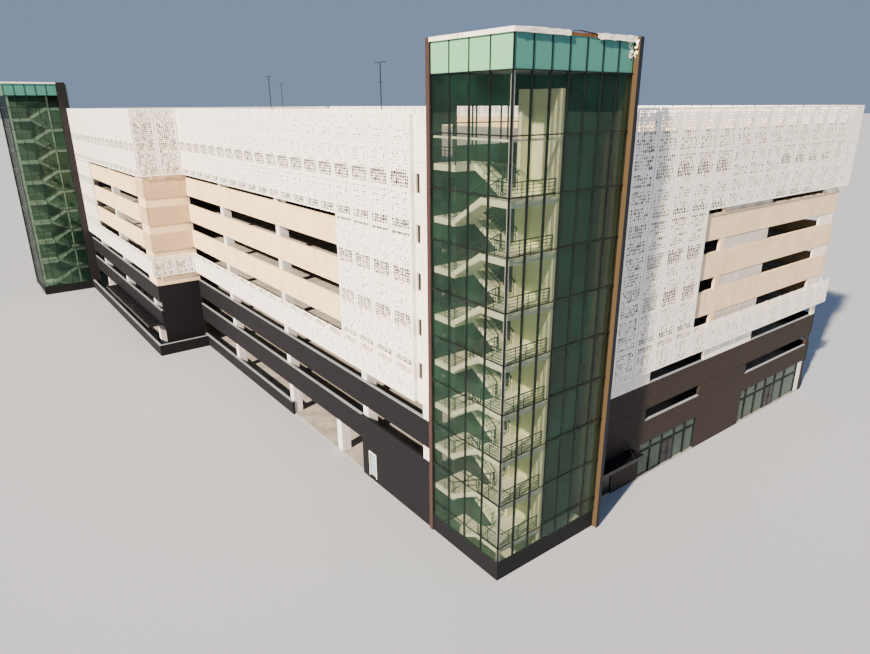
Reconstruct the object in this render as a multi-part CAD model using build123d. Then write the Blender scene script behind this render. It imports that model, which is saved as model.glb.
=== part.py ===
"""A multi storey car park with two glazed stair towers, as a 1:10 model.

Lengths are millimetres of the model, so 320 mm stands for a 3.2 m storey. The model is drawn from
the near tower's street corner: X runs back along the long front (the building lies at negative X),
Y runs along the street side, Z is up from the ground. The last lines move it so that the origin is
at the middle of its box, on the ground.
"""
import os

from build123d import *

os.makedirs("parts", exist_ok=True)

# Storeys
STOREY = 320.0
LEVEL_2 = 397.0
DECK_COUNT = 8
DECK_THICK = 30.0
GROUND_THICK = 12.0
BAND_BELOW = 61.0
BAND_ABOVE = 153.0
DARK_BANDS = 2

# Plan, from the near tower's street corner
TOWER_A_WIDE = 685.0
TOWER_A_DEEP = 957.0
TOWER_STANDS_OUT = 179.0
FRONT_LONG = 5648.0
WING_OUT = 502.0
TOWER_B_WIDE = 960.0
TOWER_B_OUT = 842.0
WING_LONG = 4928.0
BUILDING_DEEP = 4672.0
WALL = 22.0
PANEL_JOINT = 2.0

# Columns
COLUMN_WIDE = 77.0
COLUMN_DEEP = 88.0
COLUMN_PITCH = 1456.0
COLUMN_LINE_COUNT = 7
FIRST_COLUMN = 1632.0
INNER_ROWS = 2
CORNER_PIER_WIDE = 83.0
EXTRA_COLUMN = 2113.0

# Long front
SCREEN_EDGE = 861.0
OPEN_BASE_FROM = 1674.0
KNEE_WALL_FROM = 3040.0
KNEE_HIGH = 138.0
KNEE_CAP = 6.0
KNEE_CAP_LIP = 3.0
GARDEN_WALL_OUT = 106.0
SLOT_WIDE = 45.0
SLOT_UP = 125.0
SLOT_HIGH = 122.0
SLOT_FROM_EDGE = 10.0
STRIP_ABOVE_ROOF = 278.0
STRIP_JOINT_BELOW = 2.0

# Wing
WING_PIER_WIDE = 352.0
WING_CANOPY_LONG = 2400.0
WING_CANOPY_OUT = 170.0
WING_CANOPY_THICK = 14.0
WING_CANOPY_GAP = 40.0
WING_CANOPY_UP = 16.0
RETURN_RECESS = 12.0

# Street side, distances along Y
FIN_THICK = 35.0
SOLID_1_END = 1773.0
OPENING_1_END = 2550.0
SOLID_2_END = 3341.0
OPENING_2_END = 4352.0
SLOT_2_END = 4576.0
STREET_BAND_DROP = 16.0
STREET_RECESS = 5.0
STREET_PIER_WIDE = 74.0
STREET_END_WIDE = 56.0
SHOP_1_START = 1745.0
SHOP_1_WIDE = 828.0
SHOP_1_HIGH = 322.0
SHOP_1_DOORS = 332.0
SHOP_2_START = 3341.0
SHOP_2_HIGH = 350.0
SHOP_2_DOORS = 504.0
SHOP_BAY = 166.0
SHOP_2_BAY = 194.0
TRANSOM_LEVEL = 240.0
SHOP_BAR = 5.0
SHOP_FRAME_DEEP = 10.0
SHOP_FRAME_IN = 3.0
SHOP_GLASS = 3.0
CORNER_COLUMN_IN = 2.0
STREET_CANOPY_START = 992.0
STREET_CANOPY_LONG = 630.0
STREET_CANOPY_OUT = 125.0
STREET_CANOPY_LEVEL = 305.0
STREET_CANOPY_THICK = 30.0
STREET_CANOPY_RIM = 10.0
LOBBY_START = 1190.0
LOBBY_HIGH = 240.0

# Doors that turn
LEAF_THICK = 5.0
DOOR_GAP = 6.0
PIVOT_INSET = 8.0
PIVOT_RADIUS = 2.0
PIVOT_CLEAR = 0.3
LOBBY_LEAF = 92.0
SHOP_LEAF = 76.0
SHOP_2_LEAF = 86.0
SERVICE_LEAF = 90.0
SERVICE_HIGH = 211.0
SERVICE_SILL = 32.0
SERVICE_START = 1568.0
LEAF_SET_IN = 5.0

# Screens
SCREEN_ABOVE_ROOF = 307.0
UPPER_SCREEN_HIGH = 750.0
LOWER_SCREEN_DROP = 48.0
LOWER_SCREEN_HIGH = 250.0
SCREEN_MODULE = 250.0
SCREEN_THICK = 3.0
SCREEN_STANDS_OFF = 30.0
SCREEN_GAP = 12.0
RAIL_WIDE = 8.0
FRONT_FULL_COUNT = 4
WING_FULL_COUNT = 4
STREET_FULL_COUNT = 5
STREET_SCREEN_PAST_END = 118.0

# Stair towers
PLINTH_HIGH = 134.0
PLINTH_THICK = 12.0
GLASS_THICK = 5.0
GLASS_ABOVE_ROOF = 499.0
GREEN_BAND_HIGH = 176.0
BAND_THICK = 12.0
CAP_DEEP = 4.0
CAP_WIDE = 7.0
TRANSOM_A_UP = 19.0
TRANSOM_B_UP = 8.0
TOWER_A_FRONT_PANES = 4
TOWER_A_SIDE_PANES = 7
TOWER_B_SIDE_PANES = 5
TOWER_B_FRONT_PANES = 7
TOWER_B_FIN_LONG = 125.0
TOWER_ROOF_DROP = 132.0
COPING_HIGH = 20.0
COPING_WIDE = 46.0
COPING_LIP = 9.0
COPING_DROP = 4.0
COPING_METAL = 4.0
COPING_LOST_FROM = 398.0
COPING_LOST_LONG = 221.0
FIN_PROUD = 38.0
FIN_FRONT_PROUD = 12.0
CORE_WALL = 30.0
CORE_BELOW_GLASS_TOP = 86.0
FLOOR_EDGE_GAP = 13.0
TOWER_A_POST = 16.0
TOWER_B_POST = 32.0
TOWER_POST_CLEAR = 4.0
INNER_POST_IN = 22.0
INNER_POST_WIDE = 16.0
DOORWAY_WIDE = 110.0
DOORWAY_HIGH = 220.0
DOORWAY_START = 60.0
WINDOW_START = 200.0
WINDOW_END = 860.0
WINDOW_SILL = 86.0
WINDOW_HEAD = 333.0
TOP_BEAM = 12.0

# Stairs
RISER_COUNT = 10
GROUND_RISER_COUNT = 24
FIRST_RISER_COUNT_A = 14
FIRST_RISER_COUNT_B = 11
TREAD = 28.0
FLIGHT_WIDE = 128.0
FLIGHT_WELL = 22.0
STAIR_FROM_GLASS = 16.0
LANDING_THICK = 38.0
LANDING_A_LONG = 208.0
LANDING_B_LONG = 275.0
GALLERY_LONG = 384.0
STEP_JOINT = 0.3
WAIST = 18.0

# Roof lights
LIGHT_POSTS = ((3009.0, 1155.0), (6498.0, 1558.0), (7720.0, 4200.0), (9444.0, 3094.0))
POST_HIGH = 677.0
POST_RADIUS = 5.0
POST_BASE_RADIUS = 14.0
POST_BASE_HIGH = 40.0
LAMP_ARM = 46.0
LAMP_LONG = 42.0
LAMP_WIDE = 16.0
LAMP_THICK = 6.0

# Planes and lists that follow from the sizes above
LEVELS = [LEVEL_2 + STOREY * i for i in range(DECK_COUNT)]
ROOF = LEVELS[-1]
LEFT_X = -(FRONT_LONG + WING_LONG)
INNER_X = -FRONT_LONG
TOWER_A_LEFT = -TOWER_A_WIDE
FIN_A_LEFT = TOWER_A_LEFT - FIN_THICK
STREET_X = -TOWER_STANDS_OUT
FIN_A_END = TOWER_A_DEEP + FIN_THICK
SHOP_2_WIDE = BUILDING_DEEP - WALL - STREET_END_WIDE - COLUMN_DEEP - SHOP_2_START
TOWER_B_RIGHT = LEFT_X + TOWER_B_WIDE
TOWER_B_FRONT = -WING_OUT - TOWER_B_OUT
COLUMN_LINES = [-FIRST_COLUMN - COLUMN_PITCH * i for i in range(COLUMN_LINE_COUNT)]
ROW_PITCH = BUILDING_DEEP / (INNER_ROWS + 1)
ROWS = [ROW_PITCH * (i + 1) for i in range(INNER_ROWS)]
STRIP_TOP = ROOF + STRIP_ABOVE_ROOF
SCREEN_TOP = ROOF + SCREEN_ABOVE_ROOF
UPPER_SCREEN_BASE = SCREEN_TOP - UPPER_SCREEN_HIGH
LOWER_SCREEN_BASE = LEVELS[DARK_BANDS] - LOWER_SCREEN_DROP
LOWER_SCREEN_TOP = LOWER_SCREEN_BASE + LOWER_SCREEN_HIGH
GLASS_TOP = ROOF + GLASS_ABOVE_ROOF
BAND_TOP = GLASS_TOP + GREEN_BAND_HIGH
COPING_TOP = BAND_TOP + COPING_HIGH
TOWER_ROOF_LEVEL = BAND_TOP - TOWER_ROOF_DROP
TOWER_FLOORS = [GROUND_THICK] + LEVELS
HALF_STOREY = STOREY / 2
GROUND_RISER = (LEVEL_2 - GROUND_THICK) / GROUND_RISER_COUNT
FIRST_LANDING_A = GROUND_THICK + FIRST_RISER_COUNT_A * GROUND_RISER
FIRST_LANDING_B = GROUND_THICK + FIRST_RISER_COUNT_B * GROUND_RISER
HALF_FLOORS = [level + HALF_STOREY for level in LEVELS]
FLIGHT_RUN = (RISER_COUNT - 1) * TREAD
FIRST_RUN_B = (GROUND_RISER_COUNT - FIRST_RISER_COUNT_B - 1) * TREAD
STAIR_DEEP = 2 * FLIGHT_WIDE + FLIGHT_WELL
LANDING_A = TOWER_A_LEFT + LANDING_A_LONG + FLIGHT_RUN
CORE_Y = STAIR_FROM_GLASS + STAIR_DEEP
LANDING_B = TOWER_B_FRONT + LANDING_B_LONG + FLIGHT_RUN
CORE_B_X = TOWER_B_RIGHT - STAIR_FROM_GLASS - STAIR_DEEP
SIDES = {
    "front": ("y", 0.0, 1),
    "wing": ("y", -WING_OUT, 1),
    "rear": ("y", BUILDING_DEEP, -1),
    "street": ("x", STREET_X, -1),
    "return": ("x", INNER_X, -1),
    "left": ("x", LEFT_X, 1),
}

model = {}


def block(x0, x1, y0, y1, z0, z1):
    """A plain block between two opposite corners, given in any order."""
    middle = Pos((x0 + x1) / 2, (y0 + y1) / 2, (z0 + z1) / 2)
    return middle * Box(abs(x1 - x0), abs(y1 - y0), abs(z1 - z0))


def on_side(side, start, end, z0, z1, near=0.0, far=WALL):
    """A block along one side of the building, near to far measured inwards from its face."""
    along, plane, inward = SIDES[side]
    depth = (plane + inward * near, plane + inward * far)
    if along == "y":
        return block(start, end, *depth, z0, z1)
    return block(*depth, start, end, z0, z1)


def panel_row(side, start, end, z0, z1, joints, near=0.0, far=WALL):
    """A row of wall panels from start to end, with an open joint at each listed place."""
    cuts = sorted(j for j in joints if start + WALL < j < end - WALL)
    starts = [start] + [j + PANEL_JOINT / 2 for j in cuts]
    ends = [j - PANEL_JOINT / 2 for j in cuts] + [end]
    return [on_side(side, a, b, z0, z1, near, far) for a, b in zip(starts, ends)]


def band(side, start, end, level, joints):
    """The spandrel panels in front of one deck's edge."""
    return panel_row(side, start, end, level - BAND_BELOW, level + BAND_ABOVE, joints)


def add(name, solids):
    """Keeps the solids of one piece under its name."""
    model[name] = Compound(children=list(solids))


def deck(level, thick):
    """One parking deck: wing, long front part and street corner, parted by movement joints."""
    back = BUILDING_DEEP - WALL
    wing = block(LEFT_X + WALL, INNER_X - WALL, -WING_OUT + WALL, back, level - thick, level)
    main_start = INNER_X - WALL + PANEL_JOINT
    main = block(main_start, FIN_A_LEFT, WALL, back, level - thick, level)
    corner_start = FIN_A_LEFT + PANEL_JOINT
    corner = block(corner_start, STREET_X - WALL, FIN_A_END, back, level - thick, level)
    return [wing, main, corner]


def decks():
    """The ground floor, the seven parking decks and the roof deck."""
    add("ground_floor", deck(GROUND_THICK, GROUND_THICK))
    for number, level in enumerate(LEVELS[:-1], start=2):
        add(f"deck_level_{number}", deck(level, DECK_THICK))
    add("roof_deck", deck(ROOF, DECK_THICK))


def storeys():
    """Floor and ceiling heights of each storey, from the ground up."""
    floors = [GROUND_THICK] + LEVELS[:-1]
    return [(low, high - DECK_THICK) for low, high in zip(floors, LEVELS)]


def column(side, centre, low, high):
    """One storey of a column that stands just behind a side's wall panels."""
    half = COLUMN_WIDE / 2
    return on_side(side, centre - half, centre + half, low, high, WALL, WALL + COLUMN_DEEP)


def columns():
    """Columns behind the walls and in rows across the decks, one storey high each."""
    front_lines = [x for x in COLUMN_LINES if x > INNER_X + COLUMN_DEEP]
    wing_lines = [x for x in COLUMN_LINES if x < INNER_X]
    outer = []
    inner = []
    for low, high in storeys():
        outer += [column("front", x, low, high) for x in front_lines]
        outer += [column("wing", x, low, high) for x in wing_lines[:-1]]
        outer += [column("rear", x, low, high) for x in COLUMN_LINES[:-1]]
        outer += [column(side, y, low, high) for side in ("left", "street") for y in ROWS]
        for x in COLUMN_LINES[:-1]:
            for y in ROWS:
                inner.append(
                    block(
                        x - COLUMN_WIDE / 2, x + COLUMN_WIDE / 2,
                        y - COLUMN_DEEP / 2, y + COLUMN_DEEP / 2, low, high,
                    )
                )
    low, high = storeys()[0]
    outer.append(column("front", -EXTRA_COLUMN, low, high))
    for level in LEVELS[:DARK_BANDS]:
        foot = level + BAND_ABOVE
        head = level + STOREY - BAND_BELOW
        outer.append(on_side("front", FIN_A_LEFT - CORNER_PIER_WIDE, FIN_A_LEFT, foot, head))
    add("outer_columns", outer)
    add("inner_columns", inner)


def spandrels():
    """The wall panels in front of the deck edges, dark below and cream above."""
    dark = []
    cream = []
    wing_end = INNER_X - WING_PIER_WIDE
    for level in LEVELS[:DARK_BANDS]:
        first = level == LEVEL_2
        dark += band("front", INNER_X, -OPEN_BASE_FROM if first else FIN_A_LEFT, level, COLUMN_LINES)
        dark += band("wing", TOWER_B_RIGHT, INNER_X, level, COLUMN_LINES)
    for level in LEVELS[DARK_BANDS:]:
        cream += band("front", INNER_X, -SCREEN_EDGE, level, COLUMN_LINES)
        cream += band("wing", TOWER_B_RIGHT, wing_end, level, COLUMN_LINES)
    add("dark_spandrels_front", dark)
    add("cream_spandrels_front", cream)
    dark = []
    cream = []
    for level in LEVELS:
        rows = band("rear", LEFT_X, STREET_X, level, COLUMN_LINES)
        rows += band("left", -WING_OUT + WALL, BUILDING_DEEP - WALL - PANEL_JOINT, level, ROWS)
        if level in LEVELS[:DARK_BANDS]:
            dark += rows
        else:
            cream += rows
    add("dark_spandrels_rear", dark)
    add("cream_spandrels_rear", cream)


def tower_link_wall():
    """The cream wall between the screens and the near tower, one panel and slot a storey."""
    panels = []
    right = FIN_A_LEFT
    left = -SCREEN_EDGE
    lowest = LEVELS[1] + STOREY - BAND_BELOW
    slot_left = left + SLOT_FROM_EDGE
    for level in LEVELS[DARK_BANDS:]:
        start = lowest if level == LEVELS[DARK_BANDS] else level - STRIP_JOINT_BELOW
        end = min(level + STOREY - STRIP_JOINT_BELOW - PANEL_JOINT, STRIP_TOP)
        panel = on_side("front", left, right, start, end)
        if level < ROOF:
            foot = level + SLOT_UP
            panel -= on_side(
                "front", slot_left, slot_left + SLOT_WIDE, foot, foot + SLOT_HIGH, -WALL, 2 * WALL
            )
        panels.append(panel)
    add("tower_link_wall", panels)


def front_base_wall():
    """The dark wall at the foot of the long front, split round its service doorway."""
    top = LEVEL_2 + BAND_ABOVE
    door_left = -SERVICE_START
    door_right = door_left + SERVICE_LEAF + 2 * DOOR_GAP
    head = SERVICE_SILL + SERVICE_HIGH + 2 * DOOR_GAP
    half = PANEL_JOINT / 2
    left = on_side("front", -OPEN_BASE_FROM, door_left, 0, top)
    right = on_side("front", door_right, FIN_A_LEFT, 0, top)
    over = on_side("front", door_left + half, door_right - half, head, top)
    sill = on_side("front", door_left + half, door_right - half, 0, SERVICE_SILL)
    add("front_base_wall", [left, right, over, sill])


def return_wall():
    """The short wall between the wing and the long front: dark base, cream panels above."""
    start = -WING_OUT + WALL
    dark_top = LEVELS[1] + BAND_ABOVE
    add("return_base_wall", [on_side("return", start, WALL, 0, dark_top)])
    panels = []
    fascia_top = LEVELS[1] + STOREY - BAND_BELOW
    panels.append(on_side("return", start + PANEL_JOINT, WALL, dark_top, fascia_top - PANEL_JOINT))
    wing_start = INNER_X - WING_PIER_WIDE
    wing_end = INNER_X
    corner = [on_side("wing", wing_start + PANEL_JOINT, wing_end, dark_top, fascia_top - PANEL_JOINT)]
    for level in LEVELS[DARK_BANDS:]:
        foot = level - BAND_BELOW
        head = level + BAND_ABOVE
        panels.append(on_side("return", start + PANEL_JOINT, WALL, foot, head))
        corner.append(on_side("wing", wing_start + PANEL_JOINT, wing_end, foot, head))
        if level < ROOF:
            top = level + STOREY - BAND_BELOW
            low = head + PANEL_JOINT
            high = top - PANEL_JOINT
            panels.append(on_side("return", start + PANEL_JOINT, WALL, low, high, RETURN_RECESS))
            corner.append(
                on_side(
                    "wing", wing_start + PANEL_JOINT, wing_end - RETURN_RECESS,
                    low, high, RETURN_RECESS,
                )
            )
    add("wing_corner_panels", panels + corner)


def knee_walls():
    """Low dark walls with a light cap: in the long front's open bays and before the wing."""
    wing_face = -WING_OUT - GARDEN_WALL_OUT
    return_face = INNER_X + GARDEN_WALL_OUT - WALL
    high = KNEE_HIGH
    front = on_side("front", INNER_X, -KNEE_WALL_FROM, 0, high)
    wing = block(TOWER_B_RIGHT + FIN_FRONT_PROUD, return_face + WALL, wing_face, wing_face + WALL, 0, high)
    turn_start = wing_face + WALL + PANEL_JOINT
    turn = block(return_face, return_face + WALL, turn_start, -PANEL_JOINT, 0, high)
    rear = on_side("rear", LEFT_X, STREET_X, 0, high)
    left = on_side("left", -WING_OUT + WALL, BUILDING_DEEP - WALL - PANEL_JOINT, 0, high)
    add("knee_walls", [front, wing, turn, rear, left])
    lip = KNEE_CAP_LIP
    caps = [
        on_side("front", INNER_X, -KNEE_WALL_FROM, high, high + KNEE_CAP, -lip),
        block(
            TOWER_B_RIGHT + FIN_FRONT_PROUD, return_face + WALL + lip, wing_face - lip,
            wing_face + WALL, high, high + KNEE_CAP,
        ),
        block(
            return_face, return_face + WALL + lip, turn_start, -lip - PANEL_JOINT,
            high, high + KNEE_CAP,
        ),
    ]
    add("knee_wall_caps", caps)


def wing_canopy():
    """The flat dark canopy along the wing's ground storey."""
    right = INNER_X - WING_CANOPY_GAP
    face = -WING_OUT
    low = LEVEL_2 - BAND_BELOW + WING_CANOPY_UP
    plate = block(
        right - WING_CANOPY_LONG, right, face - WING_CANOPY_OUT, face, low, low + WING_CANOPY_THICK
    )
    add("wing_canopy", [plate])


def street_base_wall():
    """The dark street wall: piers beside the entrances, heads over them, slots in the next storey."""
    start = FIN_A_END
    end = BUILDING_DEEP - WALL
    sill = LEVEL_2 + BAND_ABOVE - STREET_BAND_DROP
    slot_head = sill + STOREY - BAND_BELOW - BAND_ABOVE
    top = LEVELS[1] + BAND_ABOVE
    half = PANEL_JOINT / 2
    lobby_end = LOBBY_START + 2 * LOBBY_LEAF + 3 * DOOR_GAP
    holes = [
        (LOBBY_START, lobby_end, LOBBY_HIGH + 2 * DOOR_GAP),
        (SHOP_1_START, SHOP_1_START + SHOP_1_WIDE, SHOP_1_HIGH),
        (SHOP_2_START, SHOP_2_START + SHOP_2_WIDE, SHOP_2_HIGH),
    ]
    wall = []
    at = start
    for low, high, head in holes:
        wall.append(on_side("street", at, low, 0, sill - PANEL_JOINT))
        wall.append(on_side("street", low + half, high - half, head, sill - PANEL_JOINT))
        at = high
    wall.append(on_side("street", at + COLUMN_DEEP + half, end, 0, sill - PANEL_JOINT))
    over_post = (at + half, at + COLUMN_DEEP - half)
    wall.append(on_side("street", *over_post, SHOP_2_HIGH, sill - PANEL_JOINT))
    for low, high in ((start, SOLID_1_END), (OPENING_1_END, SOLID_2_END), (SLOT_2_END, end)):
        wall.append(on_side("street", low, high, sill, slot_head - PANEL_JOINT))
    wall += panel_row("street", start, end, slot_head, top, (SOLID_2_END,))
    add("street_base_wall", wall)
    column_foot = on_side("street", *over_post, GROUND_THICK, SHOP_2_HIGH, CORNER_COLUMN_IN)
    add("street_corner_column", [column_foot])


def street_upper_walls():
    """Cream panels of the street side, grey recessed infill between them, white first fascia."""
    start = FIN_A_END
    end = BUILDING_DEEP - WALL
    cream = []
    infill = []
    piers = []
    joints = (SOLID_1_END, OPENING_1_END, SOLID_2_END)
    solid = ((start, SOLID_1_END), (OPENING_1_END, SOLID_2_END))
    infill_start = OPENING_1_END + STREET_PIER_WIDE
    for level in LEVELS[DARK_BANDS:]:
        cream += band("street", start, end, level, joints)
        if level < ROOF:
            foot = level + BAND_ABOVE + PANEL_JOINT
            head = level + STOREY - BAND_BELOW - PANEL_JOINT
            cream.append(on_side("street", OPENING_1_END, infill_start - PANEL_JOINT, foot, head))
            for low, high in ((start, SOLID_1_END), (infill_start, SOLID_2_END)):
                infill.append(on_side("street", low, high, foot, head, STREET_RECESS))
            piers.append(on_side("street", OPENING_2_END, end, foot, head, STREET_RECESS))
    foot = LEVELS[1] + BAND_ABOVE
    head = LEVELS[1] + STOREY - BAND_BELOW - PANEL_JOINT
    fascia = [on_side("street", low, high, foot, head) for low, high in solid]
    piers.append(on_side("street", SLOT_2_END, end, foot, head))
    add("cream_panels_street", cream)
    add("grey_infill_street", infill)
    add("white_fascia_street", fascia + piers)


def shopfront_bars(start, wide, high, bay, doors_at, leaf):
    """Bars of one shopfront: jambs, posts at each bay, a transom and a head rail."""
    near = SHOP_FRAME_IN
    far = near + SHOP_FRAME_DEEP
    door_end = doors_at + 2 * leaf + 3 * DOOR_GAP
    posts = [start + PANEL_JOINT, doors_at - SHOP_BAR, door_end, start + wide - SHOP_BAR - PANEL_JOINT]
    at = doors_at - SHOP_BAR - bay
    while at > start + bay / 2:
        posts.append(at)
        at -= bay
    at = door_end + bay
    while at < start + wide - bay / 2:
        posts.append(at)
        at += bay
    bars = []
    posts = sorted(posts)
    for at in posts:
        bars.append(on_side("street", at, at + SHOP_BAR, GROUND_THICK, high - SHOP_BAR, near, far))
    for a, b in zip(posts, posts[1:]):
        low = a + SHOP_BAR + PIVOT_CLEAR
        bars.append(
            on_side("street", low, b - PIVOT_CLEAR, TRANSOM_LEVEL, TRANSOM_LEVEL + SHOP_BAR, near, far)
        )
    head = high - SHOP_BAR + PIVOT_CLEAR
    bars.append(on_side("street", start + PANEL_JOINT, start + wide - PANEL_JOINT, head, high, near, far))
    return bars


def shopfront_glass(start, wide, high, doors_at, leaf):
    """Glass just inside the bars: one sheet over the transom and one each side of the doors."""
    near = SHOP_FRAME_IN + SHOP_FRAME_DEEP
    far = near + SHOP_GLASS
    door_end = doors_at + 2 * leaf + 3 * DOOR_GAP
    low = start + PANEL_JOINT
    end = start + wide - PANEL_JOINT
    over = on_side("street", low, end, TRANSOM_LEVEL + PANEL_JOINT, high, near, far)
    left = on_side("street", low, doors_at, GROUND_THICK, TRANSOM_LEVEL, near, far)
    right = on_side("street", door_end, end, GROUND_THICK, TRANSOM_LEVEL, near, far)
    return [over, left, right]


def leaf_with_pivots(side, hinge, free, low, high, near):
    """A door leaf between hinge and free edge, with a pivot pin at its foot and head."""
    along, plane, inward = SIDES[side]
    plate = on_side(side, hinge, free, low, high, near, near + LEAF_THICK)
    turn = hinge + PIVOT_INSET * (1 if free > hinge else -1)
    depth = plane + inward * (near + LEAF_THICK / 2)
    x, y = (turn, depth) if along == "y" else (depth, turn)
    reach = DOOR_GAP - PIVOT_CLEAR
    pin = Cylinder(PIVOT_RADIUS, high - low + 2 * reach)
    return plate + Pos(x, y, (low + high) / 2) * pin


def double_doors(name, doors_at, leaf, high):
    """Two leaves that meet in the middle of a street entrance."""
    near = LEAF_SET_IN
    low = GROUND_THICK + DOOR_GAP
    left = doors_at + DOOR_GAP
    right = doors_at + 2 * leaf + 2 * DOOR_GAP
    add(f"{name}_door_left", [leaf_with_pivots("street", left, left + leaf, low, high, near)])
    add(f"{name}_door_right", [leaf_with_pivots("street", right, right - leaf, low, high, near)])


def thresholds(doors):
    """The ground strips under the street doors, out to the wall's face."""
    strips = [on_side("street", low, high, 0, GROUND_THICK, 0, WALL) for low, high in doors]
    add("street_thresholds", strips)


def street_entrances():
    """Both shopfronts, the lobby doors and the strips of floor in their openings."""
    doors_1 = SHOP_1_START + SHOP_1_DOORS
    doors_2 = SHOP_2_START + SHOP_2_DOORS
    bars = shopfront_bars(SHOP_1_START, SHOP_1_WIDE, SHOP_1_HIGH, SHOP_BAY, doors_1, SHOP_LEAF)
    bars += shopfront_bars(SHOP_2_START, SHOP_2_WIDE, SHOP_2_HIGH, SHOP_2_BAY, doors_2, SHOP_2_LEAF)
    glass = shopfront_glass(SHOP_1_START, SHOP_1_WIDE, SHOP_1_HIGH, doors_1, SHOP_LEAF)
    glass += shopfront_glass(SHOP_2_START, SHOP_2_WIDE, SHOP_2_HIGH, doors_2, SHOP_2_LEAF)
    add("shopfront_bars", bars)
    add("shopfront_glass", glass)
    shop_head = TRANSOM_LEVEL - DOOR_GAP
    double_doors("shop_1", doors_1, SHOP_LEAF, shop_head)
    double_doors("shop_2", doors_2, SHOP_2_LEAF, shop_head)
    double_doors("lobby", LOBBY_START, LOBBY_LEAF, LOBBY_HIGH + DOOR_GAP)
    lobby_end = LOBBY_START + 2 * LOBBY_LEAF + 3 * DOOR_GAP
    edge = PANEL_JOINT / 2
    thresholds([
        (LOBBY_START + edge, lobby_end - edge),
        (SHOP_1_START + edge, SHOP_1_START + SHOP_1_WIDE - edge),
        (SHOP_2_START + edge, SHOP_2_START + SHOP_2_WIDE + COLUMN_DEEP - edge),
    ])


def service_door():
    """The service door near the tower, hung at its left edge."""
    hinge = -SERVICE_START + DOOR_GAP
    low = SERVICE_SILL + DOOR_GAP
    leaf = leaf_with_pivots("front", hinge, hinge + SERVICE_LEAF, low, low + SERVICE_HIGH, LEAF_SET_IN)
    add("service_door", [leaf])


def street_canopy():
    """The black steel canopy over the lobby doors: a plate with a raised rim."""
    start = STREET_CANOPY_START
    end = start + STREET_CANOPY_LONG
    rim = STREET_CANOPY_RIM
    high = STREET_CANOPY_LEVEL + STREET_CANOPY_THICK
    body = on_side("street", start, end, STREET_CANOPY_LEVEL, high, -STREET_CANOPY_OUT, 0)
    tray = on_side(
        "street", start + rim, end - rim, STREET_CANOPY_LEVEL + rim, high + rim,
        -STREET_CANOPY_OUT + rim, -rim,
    )
    add("street_canopy", [body - tray])


def screen_columns(side, start, count, module, low, high):
    """Screen plates side by side, each one module wide, held off the wall."""
    near = -SCREEN_STANDS_OFF
    plates = []
    for i in range(count):
        a = start + i * module + SCREEN_GAP / 2
        plates.append(
            on_side(side, a, a + module - SCREEN_GAP, low, high, near - SCREEN_THICK, near)
        )
    return plates


def screen_rails(side, start, count, module, full):
    """Upright rails behind the gaps between plates; beside a full strip they run the whole way."""
    rails = []
    first = 1 if side == "return" else 0
    last = count if side in ("wing", "street") else count + 1
    head = SCREEN_TOP - SCREEN_GAP
    for i in range(first, last):
        at = start + i * module
        a = max(at - RAIL_WIDE, start)
        b = min(at + RAIL_WIDE, start + count * module)
        spans = [(LOWER_SCREEN_BASE, LOWER_SCREEN_TOP), (UPPER_SCREEN_BASE, head)]
        if i in full or i - 1 in full:
            spans = [(LOWER_SCREEN_BASE, head)]
        rails += [on_side(side, a, b, low, high, -SCREEN_STANDS_OFF, 0) for low, high in spans]
    return rails


def screens():
    """Perforated screens: a top band, a low band and some strips the whole way between."""
    out = SCREEN_STANDS_OFF + SCREEN_THICK
    runs = {
        "front": (INNER_X + out, -SCREEN_EDGE),
        "return": (-WING_OUT - out, -out),
        "wing": (TOWER_B_RIGHT + FIN_FRONT_PROUD, INNER_X + SCREEN_STANDS_OFF),
        "street": (FIN_A_END, BUILDING_DEEP + STREET_SCREEN_PAST_END),
        "rear": (LEFT_X, STREET_X),
        "left": (-WING_OUT, BUILDING_DEEP - PANEL_JOINT),
    }
    plates = {side: [] for side in runs}
    rails = []
    low = LOWER_SCREEN_TOP + PANEL_JOINT
    high = UPPER_SCREEN_BASE - PANEL_JOINT
    for side, (start, end) in runs.items():
        count = round((end - start) / SCREEN_MODULE)
        module = (end - start) / count
        full = {
            "front": range(count - FRONT_FULL_COUNT, count),
            "wing": range(WING_FULL_COUNT),
            "street": range(STREET_FULL_COUNT),
        }.get(side, range(0))
        first = start + full.start * module
        plates[side] += screen_columns(side, start, count, module, UPPER_SCREEN_BASE, SCREEN_TOP)
        plates[side] += screen_columns(
            side, start, count, module, LOWER_SCREEN_BASE, LOWER_SCREEN_TOP
        )
        plates[side] += screen_columns(side, first, len(full), module, low, high)
        rails += screen_rails(side, start, count, module, full)
    add("screens_front", plates["front"])
    add("screens_wing", plates["wing"] + plates["return"])
    add("screens_street", plates["street"])
    add("screens_rear", plates["rear"] + plates["left"])
    add("screen_rails", rails)


def step(index, riser):
    """One step of a flight that climbs towards -X from X=0, Z=0: tread, riser and sloping soffit."""
    x0 = -index * TREAD
    x1 = x0 - TREAD + STEP_JOINT
    top = (index + 1) * riser
    foot = index * riser - WAIST
    points = [(x0, top), (x1, top), (x1, foot + riser), (x0, foot)]
    face = Plane.XZ * make_face(Polyline(*points, close=True))
    return extrude(face, amount=-FLIGHT_WIDE)


def steps_on(place, risers, riser):
    """The steps of one flight at its place; those of a ground flight are cut off at the floor."""
    steps = [place * step(i, riser) for i in range(risers - 1)]
    foot = place.position.Z
    if foot > GROUND_THICK:
        return steps
    above = Pos(place.position.X, place.position.Y, foot + STOREY) * Box(*[2 * STOREY] * 3)
    return [s & above if s.bounding_box().min.Z < foot else s for s in steps]


def near_flight(head, foot, risers=RISER_COUNT, riser=HALF_STOREY / RISER_COUNT):
    """The flight beside the glass, which climbs towards +X to a floor's edge at X=head."""
    return steps_on(Pos(head - (risers - 1) * TREAD, FLIGHT_WIDE, foot) * Rot(0, 0, 180), risers, riser)


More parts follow.
